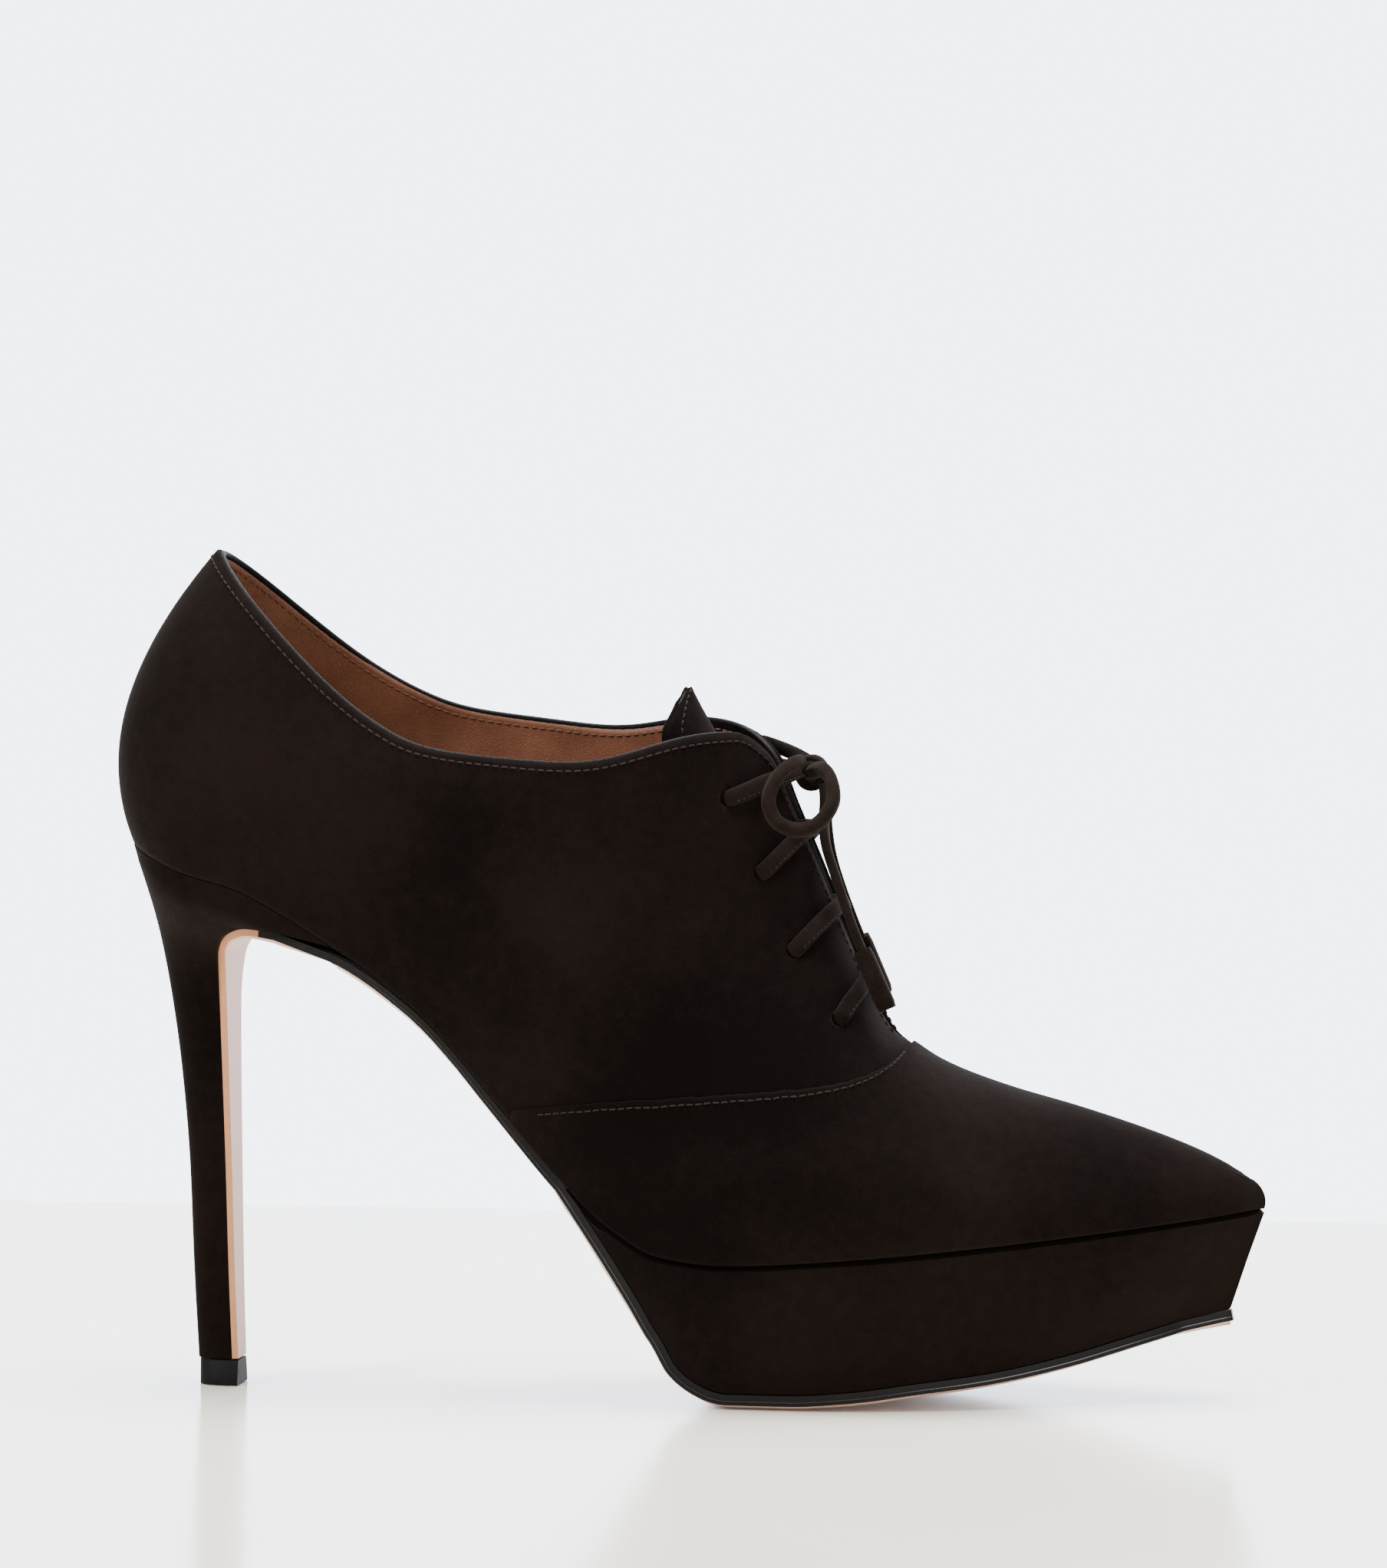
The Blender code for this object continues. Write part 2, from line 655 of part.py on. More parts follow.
def make_tongue(material):
    """Pointed tongue bent round the instep, under the facings."""
    mesh = bmesh.new()
    grid = []
    spans = 10
    for place, height, radius, angle in TONGUE:
        row = []
        for k in range(spans + 1):
            turn = math.radians(angle) * (2 * k / spans - 1)
            size = radius * BALL_WIDTH
            x = along(place) - size * (1 - math.cos(turn))
            y = TONGUE_SIDE * BALL_WIDTH + size * math.sin(turn)
            row.append(mesh.verts.new((x, y, PLATFORM_HEIGHT + height * INSTEP_HEIGHT)))
        grid.append(row)
    for upper_row, lower_row in zip(grid, grid[1:]):
        for k in range(spans):
            mesh.faces.new([upper_row[k], lower_row[k], lower_row[k + 1], upper_row[k + 1]])
    tongue = add_object("tongue", mesh)
    solidify(tongue, TONGUE_WALL)
    finish(tongue, material)
    return tongue


def surface_at(x, z, side):
    """The point of the upper's outside that shows at this place and height, and its outward normal."""
    share, t = 0.0, 0.8
    share_span, t_span = 0.35, 0.2
    steps = 8
    for _ in range(7):
        best = None
        for i in range(-steps, steps + 1):
            for j in range(-steps, steps + 1):
                a = min(max(share + share_span * i / steps, RIBS[0][0]), RIBS[-1][0])
                b = min(max(t + t_span * j / steps, 0.0), 1.0)
                point = bezier(rib(a, side), b)
                miss = (point.x - x) ** 2 + (point.z - z) ** 2
                if best is None or miss < best[0]:
                    best = (miss, a, b, point)
        _, share, t, point = best
        share_span, t_span = share_span * 0.3, t_span * 0.3
    step = 0.01
    across = bezier(rib(share + step, side), t) - bezier(rib(share - step, side), t)
    up = bezier(rib(share, side), min(t + step, 1.0)) - bezier(rib(share, side), t - step)
    normal = across.cross(up).normalized()
    if normal.y * (-1, 1)[side] < 0:
        normal = -normal
    return point, normal


PATH_STEPS = 3              # short pieces between two points of a cord


def tube(name, points, radius, material=None, pieces=PATH_STEPS):
    """A round cord through hand-set points, on a smooth curve, with closed ends."""
    curve = bpy.data.curves.new(name, "CURVE")
    curve.dimensions = "3D"
    curve.bevel_depth = radius
    curve.bevel_resolution = 2
    curve.use_fill_caps = True
    spline = curve.splines.new("POLY")
    path = smooth_path(points, pieces)
    spline.points.add(len(path) - 1)
    for spot, point in zip(spline.points, path):
        spot.co = (*point, 1)
    item = bpy.data.objects.new(name, curve)
    SHOE.objects.link(item)
    if material:
        curve.materials.append(material)
    return item



def smooth_path(points, pieces=PATH_STEPS):
    """A Catmull-Rom curve through the points, cut into short straight pieces."""
    points = [Vector(point) for point in points]
    path = []
    for k in range(len(points) - 1):
        a, b = points[max(k - 1, 0)], points[k]
        c, d = points[k + 1], points[min(k + 2, len(points) - 1)]
        for step in range(pieces):
            t = step / pieces
            path.append(0.5 * (2 * b + (c - a) * t + (2 * a - 5 * b + 4 * c - d) * t * t
                               + (3 * b - a - 3 * c + d) * t ** 3))
    path.append(points[-1])
    return path


def to_mesh(item):
    """Turn a curve object into a closed mesh object of the same name."""
    data = bpy.data.meshes.new_from_object(item.evaluated_get(bpy.context.evaluated_depsgraph_get()))
    mesh = bmesh.new()
    mesh.from_mesh(data)
    bmesh.ops.remove_doubles(mesh, verts=mesh.verts, dist=1e-6)
    name = item.name
    bpy.data.objects.remove(item)
    return add_object(name, mesh)


def eyelet(row, side):
    """Centre and outward normal of an eyelet."""
    place, height = EYELETS[row]
    return surface_at(along(place), PLATFORM_HEIGHT + height * INSTEP_HEIGHT, side)


def punch_eyelets(upper):
    """Four holes through each facing."""
    for side in (0, 1):
        for row in range(len(EYELETS)):
            point, normal = eyelet(row, side)
            mesh = bmesh.new()
            bmesh.ops.create_cone(mesh, cap_ends=True, segments=12, radius1=EYELET_RADIUS,
                                  radius2=EYELET_RADIUS, depth=4 * UPPER_WALL)
            turn = normal.to_track_quat("Z", "Y").to_matrix().to_4x4()
            turn.translation = point
            bmesh.ops.transform(mesh, matrix=turn, verts=mesh.verts)
            combine(upper, add_object(f"eyelet_{side}_{row}", mesh), "DIFFERENCE")


def facing_edge(height):
    """Middle of the throat between the facings at a height over the platform."""
    level = PLATFORM_HEIGHT + height * INSTEP_HEIGHT
    share, span = 0.1, 0.2
    for _ in range(30):
        ends = [rib(share, side)[3] for side in (0, 1)]
        share += math.copysign(span, ends[0].z - level)
        span *= 0.6
        share = min(max(share, RIBS[8][0]), RIBS[14][0])
    return (ends[0] + ends[1]) / 2


LACE_LIFT = 0.0006          # clearance of the lace over the suede


def lace_run(row_a, side_a, row_b, side_b):
    """Points of a lace from one eyelet over the throat to another on the other side."""
    lift = LACE_RADIUS + LACE_LIFT
    middle_height = (EYELETS[row_a][1] + EYELETS[row_b][1]) / 2 + 0.06
    centre = facing_edge(middle_height)
    points = []
    for row, side in ((row_a, side_a), (row_b, side_b)):
        start, normal = eyelet(row, side)
        line = [start + normal * lift]
        for part in (0.4, 0.75):
            spot, out = surface_at(start.x + (centre.x - start.x) * part,
                                   start.z + (centre.z - start.z) * part, side)
            line.append(spot + out * lift)
        points.append(line)
    ahead = Vector((0.91, 0, 0.41))
    return points[0] + [centre + ahead * (lift + 2 * LACE_LIFT)] + points[1][::-1]


KNOT = (0.0098, 0.0010, 0.1300)
KNOT_SIZE = (0.0030, 0.0038, 0.0034)


def make_laces(material):
    """The crossings over the throat, and the runs from the top eyelets to the knot, as one solid."""
    laces = None
    runs = []
    for first in (0, 1):
        side = first
        points = []
        for row in range(len(EYELETS) - 1):
            run = lace_run(row, side, row + 1, 1 - side)
            points += run if not points else run[1:]
            side = 1 - side
        runs.append(points)
    for k, points in enumerate(runs):
        item = to_mesh(tube(f"laces_{k}", points, LACE_RADIUS, pieces=2))
        if laces is None:
            laces = item
            laces.name = "laces"
        else:
            combine(laces, item, "UNION")
    finish(laces, material)
    return laces


# Routes of the bow's free cords, in metres: they lie where the knot leaves them.
LOOP_NEAR = [
    (0.0106, -0.0034, 0.1305), (0.0136, -0.0090, 0.1311), (0.0158, -0.0128, 0.1285),
    (0.0162, -0.0152, 0.1245), (0.0135, -0.0168, 0.1205), (0.0094, -0.0178, 0.1190),
    (0.0050, -0.0180, 0.1208), (0.0032, -0.0176, 0.1250), (0.0046, -0.0156, 0.1296),
    (0.0070, -0.0112, 0.1322), (0.0082, -0.0066, 0.1326),
]
LOOP_FAR = [
    (0.0092, 0.0056, 0.1314), (0.0062, 0.0108, 0.1328), (0.0012, 0.0152, 0.1345),
    (-0.0032, 0.0178, 0.1356), (-0.0056, 0.0190, 0.1338), (-0.0030, 0.0190, 0.1314),
    (0.0030, 0.0164, 0.1302), (0.0080, 0.0114, 0.1292), (0.0108, 0.0062, 0.1288),
]
END_NEAR = [
    (0.0126, -0.0012, 0.1272), (0.0131, -0.0034, 0.1236), (0.0133, -0.0064, 0.1194),
    (0.0142, -0.0092, 0.1150), (0.0163, -0.0115, 0.1094), (0.0190, -0.0125, 0.1018),
    (0.0207, -0.0129, 0.0973), (0.0226, -0.0132, 0.0930),
]
END_FAR = [
    (0.0124, 0.0034, 0.1270), (0.0120, 0.0078, 0.1232), (0.0116, 0.0122, 0.1180),
    (0.0121, 0.0160, 0.1118), (0.0138, 0.0190, 0.1049), (0.0161, 0.0212, 0.0978),
    (0.0178, 0.0223, 0.0933),
]


def make_bow(material):
    """Knot, two loops and two ends with their wrapped tips."""
    mesh = bmesh.new()
    bmesh.ops.create_uvsphere(mesh, u_segments=12, v_segments=8, radius=1)
    bmesh.ops.scale(mesh, vec=KNOT_SIZE, verts=mesh.verts)
    bmesh.ops.translate(mesh, vec=KNOT, verts=mesh.verts)
    finish(add_object("lace_knot", mesh), material)
    tube("lace_loop_near", LOOP_NEAR, LACE_RADIUS, material)
    tube("lace_loop_far", LOOP_FAR, LACE_RADIUS, material)
    for side, points in (("near", END_NEAR), ("far", END_FAR)):
        tube(f"lace_end_{side}", points, LACE_RADIUS, material)
        last, before = Vector(points[-1]), Vector(points[-2])
        run = (last - before).normalized()
        run = (run + Vector((0.08, 0, 0))).normalized()
        start = last + run * 2 * GAP
        tube(f"aglet_{side}", [start, start + run * AGLET_LENGTH], AGLET_RADIUS, material)


def empty_scene():
    """Start from nothing and make the two collections."""
    for item in list(bpy.data.objects):
        bpy.data.objects.remove(item)
    groups = []
    for name in ("lace_up_heel", "cutters"):
        group = bpy.data.collections.new(name)
        bpy.context.scene.collection.children.link(group)
        groups.append(group)
    return groups


SHOE, CUTTERS = empty_scene()
SUEDE = make_material("suede", (0.012, 0.007, 0.006), 0.95)
LINING = make_material("lining_leather", (0.42, 0.19, 0.11), 0.5)
NUDE = make_material("sole_leather", (0.62, 0.42, 0.34), 0.45)
BLACK = make_material("tip_plastic", (0.01, 0.01, 0.01), 0.35)

punch_eyelets(make_upper(SUEDE))
make_insole(LINING)
make_platform(SUEDE)
make_outsole(NUDE)
make_heel(SUEDE)
make_tip(BLACK)
make_tongue(SUEDE)
make_laces(SUEDE)
make_bow(SUEDE)
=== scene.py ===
# %% [markdown]
# A lace up platform heel in dark brown suede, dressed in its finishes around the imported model.
# The model is loaded as a fixed frame, in metres: toe along +X, the little-toe side towards -Y,
# the floor at Z = 0 and the origin under the tread of the forefoot. Every piece made here sits on
# that frame, so nothing is fitted by eye afterwards.

# %% Load the frame
import math

import bmesh
import bpy
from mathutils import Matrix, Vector


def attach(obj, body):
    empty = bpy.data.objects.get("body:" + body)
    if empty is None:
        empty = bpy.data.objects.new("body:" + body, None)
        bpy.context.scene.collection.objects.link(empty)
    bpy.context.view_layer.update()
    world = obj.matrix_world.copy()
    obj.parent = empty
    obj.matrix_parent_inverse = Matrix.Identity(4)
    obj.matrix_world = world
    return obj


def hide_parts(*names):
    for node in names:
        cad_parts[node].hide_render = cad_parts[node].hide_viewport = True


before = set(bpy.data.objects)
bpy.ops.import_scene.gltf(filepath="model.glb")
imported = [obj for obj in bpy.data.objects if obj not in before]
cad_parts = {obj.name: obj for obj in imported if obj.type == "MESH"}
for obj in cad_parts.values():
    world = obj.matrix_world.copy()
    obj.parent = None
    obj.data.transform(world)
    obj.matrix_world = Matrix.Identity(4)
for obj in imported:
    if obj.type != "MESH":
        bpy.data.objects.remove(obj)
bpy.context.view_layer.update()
print("nodes", sorted(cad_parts))

# %% [markdown]
# The camera stands in front of the little-toe side, a little towards the toe and just above the
# shoe, and looks slightly down. A long lens keeps the heel and the toe at nearly one scale, as in a
# catalogue picture.

# %% Camera
EYE = Vector((0.2064, -1.4816, 0.2034))
LOOKED_AT = Vector((-0.015, 0.0, 0.1275))
FOCAL_MM = 165.1

camera = bpy.data.objects.new("camera", bpy.data.cameras.new("camera"))
camera.location = EYE
camera.rotation_euler = (LOOKED_AT - EYE).to_track_quat("-Z", "Y").to_euler()
camera.data.lens = FOCAL_MM
camera.data.sensor_width = 36.0
camera.data.clip_start = 0.05
bpy.context.scene.collection.objects.link(camera)
bpy.context.scene.camera = camera

# %% [markdown]
# Shader maths is easier to read as expressions. A Wire holds one output socket, and adding or
# multiplying two of them puts the Math node in for us. Colours go through Mix nodes instead,
# because a Math node would turn a colour grey. A Mix node has sockets of one name for numbers and
# for colours, so the ones for colours are picked by their index.

# %% A small language for shaders
MIX_COLOURS = (6, 7)
MIX_RESULT = 2


class Wire:
    """One output socket; arithmetic on it adds Math nodes."""

    def __init__(self, finish, socket):
        self.finish = finish
        self.socket = socket

    def _math(self, operation, *values):
        return self.finish.node("ShaderNodeMath", {"operation": operation}, *values)

    def __add__(self, other):
        return self._math("ADD", self, other)

    def __sub__(self, other):
        return self._math("SUBTRACT", self, other)

    def __mul__(self, other):
        return self._math("MULTIPLY", self, other)

    def __rsub__(self, other):
        return self._math("SUBTRACT", other, self)

    __radd__ = __add__
    __rmul__ = __mul__


class Finish:
    """A material with one Principled shader, and short ways to feed it."""

    def __init__(self, name, **constants):
        self.material = bpy.data.materials.new(name)
        self.material.use_nodes = True
        self.tree = self.material.node_tree
        self.shader = self.tree.nodes["Principled BSDF"]
        for label, value in constants.items():
            self.shader.inputs[label.replace("_", " ")].default_value = value

    def node(self, kind, settings, *values, out=0, **named):
        made = self.tree.nodes.new(kind)
        for key, value in settings.items():
            if key == "stops":
                self.set_stops(made.color_ramp, value)
            else:
                setattr(made, key, value)
        pairs = list(enumerate(values)) + [(k.replace("_", " "), v) for k, v in named.items()]
        for key, value in pairs:
            if isinstance(value, Wire):
                self.tree.links.new(value.socket, made.inputs[key])
            else:
                made.inputs[key].default_value = value
        return Wire(self, made.outputs[out])

    def place(self):
        return self.node("ShaderNodeTexCoord", {}, out="Object")

    def noise(self, scale, detail, roughness):
        return self.node("ShaderNodeTexNoise", {}, Vector=self.place(), Scale=scale, Detail=detail,
                         Roughness=roughness)

    def ramp(self, value, stops):
        return self.node("ShaderNodeValToRGB", {"stops": stops}, value)

    @staticmethod
    def set_stops(ramp, stops):
        """Give a ramp its stops, each a place and a grey."""
        while len(ramp.elements) < len(stops):
            ramp.elements.new(0.5)
        for element, (place, grey) in zip(ramp.elements, stops):
            element.position = place
            element.color = (grey, grey, grey, 1)

    def mix(self, factor, first, second):
        mixed = self.node("ShaderNodeMix", {"data_type": "RGBA"}, out=MIX_RESULT, Factor=factor)
        for key, colour in zip(MIX_COLOURS, (first, second)):
            mixed.socket.node.inputs[key].default_value = (*colour, 1)
        return mixed

    def feed(self, label, wire):
        self.tree.links.new(wire.socket, self.shader.inputs[label])

    def bump(self, height, strength, distance):
        made = self.node("ShaderNodeBump", {}, Strength=strength, Distance=distance, Height=height,
                         out="Normal")
        self.feed("Normal", made)


# %% [markdown]
# Suede is the flesh side of leather, buffed to a short nap. It has no gloss, but the nap catches
# light at a grazing angle, and brushing it one way or the other leaves soft lighter and darker
# clouds. So the finish is a dark brown mottled by wide clouds, small patches and the nap itself,
# with a very fine bump for the nap and sheen on the shader's own socket.

# %% Suede
SUEDE_DARK = (0.0020, 0.0010, 0.0008)
SUEDE_LIGHT = (0.0058, 0.0032, 0.0026)
CLOUD_SCALE = 19.0
PATCH_SCALE = 340.0
NAP_SCALE = 2600.0
NAP_DEPTH = 0.00022


def make_suede(name, dark=SUEDE_DARK, light=SUEDE_LIGHT, sheen=0.034):
    suede = Finish(name, Sheen_Weight=sheen, Sheen_Roughness=0.5, Specular_IOR_Level=0.04)
    suede.shader.inputs["Sheen Tint"].default_value = (0.55, 0.42, 0.36, 1)
    clouds = suede.noise(CLOUD_SCALE, 2.0, 0.45)
    patches = suede.noise(PATCH_SCALE, 3.0, 0.6)
    nap = suede.noise(NAP_SCALE, 3.0, 0.7)
    mottle = clouds * 1.15 + patches * 0.40 + nap * 0.45 - 0.52
    mask = suede.ramp(mottle, [(0.34, 0.0), (0.72, 1.0)])
    suede.feed("Base Color", suede.mix(mask, dark, light))
    suede.feed("Roughness", 0.98 - mask * 0.10)
    suede.bump(nap * 0.8 + patches * 0.5, 0.55, NAP_DEPTH)
    return suede.material


SUEDE = make_suede("suede")
SUEDE_LACE = make_suede("suede_lace", (0.0030, 0.0017, 0.0014), (0.0105, 0.0066, 0.0052), 0.055)

# %% [markdown]
# The lining is smooth tan leather with a fine grain and a soft shine, a little darker where light
# can't reach. The insole is covered with the same skin.

# %% Lining leather
def make_leather(name, base, deep, gloss, grain=1500.0, depth=0.00012, shine=0.4):
    leather = Finish(name, Specular_IOR_Level=shine)
    cells = leather.node("ShaderNodeTexVoronoi", {"feature": "DISTANCE_TO_EDGE"}, out="Distance",
                         Vector=leather.place(), Scale=grain)
    clouds = leather.noise(70.0, 3.0, 0.6)
    shade = leather.ramp(clouds * 0.8 + cells * 0.5, [(0.3, 0.0), (0.75, 1.0)])
    leather.feed("Base Color", leather.mix(shade, deep, base))
    leather.feed("Roughness", gloss + clouds * 0.18)
    leather.bump(leather.ramp(cells, [(0.0, 0.0), (0.35, 1.0)]), 0.35, depth)
    return leather.material


LINING = make_leather("lining", (0.21, 0.086, 0.044), (0.12, 0.044, 0.021), 0.42, shine=0.3)
PIPING = make_leather("edge_binding", (0.0060, 0.0046, 0.0042), (0.003, 0.0024, 0.0022), 0.5,
                      shine=0.12)

# %% [markdown]
# The sole's leather is left nude on its face, with the faint clouds and grain of vegetable tanned
# hide. Its edge is a second finish: black ink burnished with wax, smooth and half glossy. Both are
# plain leathers, so one recipe with other numbers makes them, and the small hard parts too.

# %% Sole leather, ink, thread and rubber
def make_plain(name, colour, rough, spread, scale=600.0, depth=0.0001, shine=0.12):
    plain = Finish(name, Specular_IOR_Level=shine)
    grain = plain.noise(scale, 3.0, 0.6)
    worn = tuple(min(1.0, c * 1.35 + 0.002) for c in colour)
    plain.feed("Base Color", plain.mix(grain, colour, worn))
    plain.feed("Roughness", rough + grain * spread)
    plain.bump(grain, 0.3, depth)
    return plain.material


SOLE = make_plain("sole_leather", (0.40, 0.245, 0.185), 0.40, 0.2, 700.0, shine=0.4)
SOLE_EDGE = make_plain("edge_ink", (0.0042, 0.0036, 0.0034), 0.30, 0.25, 900.0)
TIP_RUBBER = make_plain("tip_rubber", (0.003, 0.003, 0.003), 0.48, 0.25, shine=0.08)
THREAD = make_plain("thread", (0.0105, 0.0066, 0.0052), 0.6, 0.2, 4000.0)
LINING_THREAD = make_plain("lining_thread", (0.10, 0.044, 0.026), 0.55, 0.2, 4000.0)
SOLE_BEAD = make_plain("sole_bead", (0.010, 0.009, 0.009), 0.14, 0.2, 2500.0, shine=0.6)
BREAST_EDGE = make_plain("breast_edge", (0.36, 0.165, 0.085), 0.4, 0.2)

# %% [markdown]
# The lace is a narrow strip of suede folded over itself and stitched along one edge. On the real
# shoe it is cut long enough for a small bow: two loops that go back into the knot and two short
# ends, each rolled into a tube at its tip. Free laces are made first, and their lengths are
# printed. A strip is swept as a flat oval section along a smooth path, so its width stays true
# and it can turn over where the real one twists. Each point of the path comes with a normal,
# which is the strip's thin way.

# %% Smooth paths
def smooth_path(points, pieces=8):
    """A smooth curve through given points."""
    points = [Vector(point) for point in points]
    path = []
    for k in range(len(points) - 1):
        a, b = points[max(k - 1, 0)], points[k]
        c, d = points[k + 1], points[min(k + 2, len(points) - 1)]
        for step in range(pieces):
            t = step / pieces
            path.append(0.5 * (2 * b + (c - a) * t + (2 * a - 5 * b + 4 * c - d) * t * t
                               + (3 * b - a - 3 * c + d) * t ** 3))
    return path + [points[-1]]


def path_length(points):
    return sum((b - a).length for a, b in zip(points, points[1:]))


def with_normals(points, facing):
    """Pair each point of a path with the same direction."""
    return [(point, facing.normalized()) for point in points]


# %% [markdown]
# Every piece ends the same way: its mesh becomes a smooth shaded object, which is then tied to the
# part's one body.

# %% Objects
def object_from(name, mesh, material, angle=45):
    """A smooth shaded object from a mesh in the making."""
    data = bpy.data.meshes.new(name)
    mesh.to_mesh(data)
    mesh.free()
    data.materials.append(material)
    data.shade_smooth()
    data.set_sharp_from_angle(angle=math.radians(angle))
    item = bpy.data.objects.new(name, data)
    bpy.context.scene.collection.objects.link(item)
    return item


def ride(item):
    """Everything here rides on the one body of this row."""
    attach(item, "root")
    return item


# %% [markdown]
# A curve object with a bevel could make a strip too, but it would twist by its own rules. Here each
# ring of points is set square to the path and turned to the given normal, and the rings are joined.

# %% Sweeping a strip along a path
OVAL_POWER = 0.62


def section(count, width, thickness):
    """A flat oval with full sides, as (across, thin) pairs."""
    ring = []
    for s in range(count):
        a = 2 * math.pi * s / count
        c, n = math.cos(a), math.sin(a)
        ring.append((math.copysign(abs(c) ** OVAL_POWER, c) * width / 2,
                     math.copysign(abs(n) ** OVAL_POWER, n) * thickness / 2))
    return ring


def sweep(name, path, width, thickness, material, sides=14, sizes=None, closed=False):
    """A strip along (point, normal) pairs; sizes(share of the length) may narrow it."""
    mesh = bmesh.new()
    rings = []
    count = len(path)
    for k, (point, normal) in enumerate(path):
        after = path[(k + 1) % count if closed else min(k + 1, count - 1)][0]
        before = path[k - 1 if closed else max(k - 1, 0)][0]
        ahead = (after - before).normalized()
        across = ahead.cross(normal).normalized()
        thin = across.cross(ahead).normalized()
        grow = sizes(k / (count - 1)) if sizes else 1.0
        rings.append([mesh.verts.new(point + across * (u * grow) + thin * (v * grow))
                      for u, v in section(sides, width, thickness)])
    pairs = list(zip(rings, rings[1:] + ([rings[0]] if closed else [])))
    for low, high in pairs:
        for s in range(sides):
            n = (s + 1) % sides
            mesh.faces.new([low[s], low[n], high[n], high[s]])
    if not closed:
        mesh.faces.new(rings[0][::-1])
        mesh.faces.new(rings[-1])
    bmesh.ops.recalc_face_normals(mesh, faces=mesh.faces)
    return object_from(name, mesh, material, 60)


# %% [markdown]
# The bow. Its routes are the same points, in metres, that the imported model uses: each loop leaves
# the knot and comes back into it, and each end falls in front of the throat. In a loop the strip
# is nearly round, and its thin way points away from the loop's middle.

# %% Bow
LACE_WIDTH = 0.0032
LACE_THICK = 0.0020
LOOP_SIZES = (0.0031, 0.0028)
LOOP_NEAR = [
    (0.0106, -0.0034, 0.1305), (0.0136, -0.0090, 0.1311), (0.0158, -0.0128, 0.1285),
    (0.0162, -0.0152, 0.1245), (0.0135, -0.0168, 0.1205), (0.0094, -0.0178, 0.1190),
    (0.0050, -0.0180, 0.1208), (0.0032, -0.0176, 0.1250), (0.0046, -0.0156, 0.1296),
    (0.0070, -0.0112, 0.1322), (0.0082, -0.0066, 0.1326),
]
LOOP_FAR = [
    (0.0092, 0.0056, 0.1314), (0.0062, 0.0108, 0.1328), (0.0012, 0.0152, 0.1345),
    (-0.0032, 0.0178, 0.1356), (-0.0056, 0.0190, 0.1338), (-0.0030, 0.0190, 0.1314),
    (0.0030, 0.0164, 0.1302), (0.0080, 0.0114, 0.1292), (0.0108, 0.0062, 0.1288),
]
END_NEAR = [
    (0.0126, -0.0012, 0.1272), (0.0131, -0.0034, 0.1236), (0.0133, -0.0064, 0.1194),
    (0.0142, -0.0092, 0.1150), (0.0163, -0.0115, 0.1094), (0.0190, -0.0125, 0.1018),
    (0.0207, -0.0129, 0.0973), (0.0226, -0.0132, 0.0930),
]
END_FAR = [
    (0.0124, 0.0034, 0.1270), (0.0120, 0.0078, 0.1232), (0.0116, 0.0122, 0.1180),
    (0.0121, 0.0160, 0.1118), (0.0138, 0.0190, 0.1049), (0.0161, 0.0212, 0.0978),
    (0.0178, 0.0223, 0.0933),
]
AGLET_LENGTH = 0.0133
AGLET_WIDTH = 0.0040
AGLET_LAP = 0.0012


def loop_normals(points, centre):
    """The ribbon's thin way points away from the loop's middle."""
    return [(p, (p - centre).normalized()) for p in points]


def aglet(name, path):
    """The rolled tip of an end: a tube that goes on where the strip stops."""
    ahead = (path[-1] - path[-3]).normalized()
    start = path[-1] - ahead * AGLET_LAP
    points = [start + ahead * (AGLET_LENGTH * k / 12) for k in range(13)]
    item = sweep(name, with_normals(points, Vector((1, 0, 0.3))), AGLET_WIDTH, AGLET_WIDTH,
                 SUEDE_LACE, sides=20,
                 sizes=lambda t: 0.9 + 0.1 * min(1, t * 8) - 0.12 * max(0, t - 0.93) / 0.07)
    ride(item)
    return item


laid = {}
for node, route in (("lace_loop_near", LOOP_NEAR), ("lace_loop_far", LOOP_FAR)):
    points = smooth_path(route)
    centre = sum(points, Vector()) / len(points)
    piece = sweep("bow_" + node, loop_normals(points, centre), *LOOP_SIZES, SUEDE_LACE)
    ride(piece)
    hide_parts(node)
    path_length(points)
    laid[node] = points
for node, tip_node, route in (("lace_end_near", "aglet_near", END_NEAR),
                              ("lace_end_far", "aglet_far", END_FAR)):
    points = smooth_path(route)
    piece = sweep("bow_" + node, with_normals(points, Vector((0.9, 0.1, 0.42))), LACE_WIDTH, LACE_THICK,
                  SUEDE_LACE)
    ride(piece)
    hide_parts(node)
    tip = aglet("tip_" + tip_node, points)
    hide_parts(tip_node)
    path_length(points)
    laid[node] = points
print("free lace, mm:", {k: round(path_length(v) * 1000) for k, v in laid.items()})

# %% [markdown]
# The knot is the lace itself, wrapped once round the crossing of loops and ends. Two closed turns
# of the same strip, tilted against each other, read as a pulled knot better than a bead would.

# %% Knot
KNOT = Vector((0.0098, 0.0010, 0.1300))
KNOT_SIZES = (0.0034, 0.0014)
KNOT_STEPS = 40
KNOT_TURNS = [
    # axis, radii, lean
    ((0.18, 1.0, 0.12), (0.0029, 0.0031), (0, 0, 1)),
    ((-0.35, 1.0, 0.55), (0.0024, 0.0026), (0, 0.2, 1)),
]


def knot_turn(name, axis, radii, lean):
    """One closed turn of the lace round the knot's middle."""
    axis = Vector(axis).normalized()
    side = axis.cross(Vector(lean)).normalized()
    up = side.cross(axis).normalized()
    path = []
    for k in range(KNOT_STEPS):
        a = 2 * math.pi * k / KNOT_STEPS
        out = side * math.cos(a) * radii[0] + up * math.sin(a) * radii[1]
        path.append((KNOT + out, out.normalized()))
    return sweep(name, path, *KNOT_SIZES, SUEDE_LACE, closed=True)


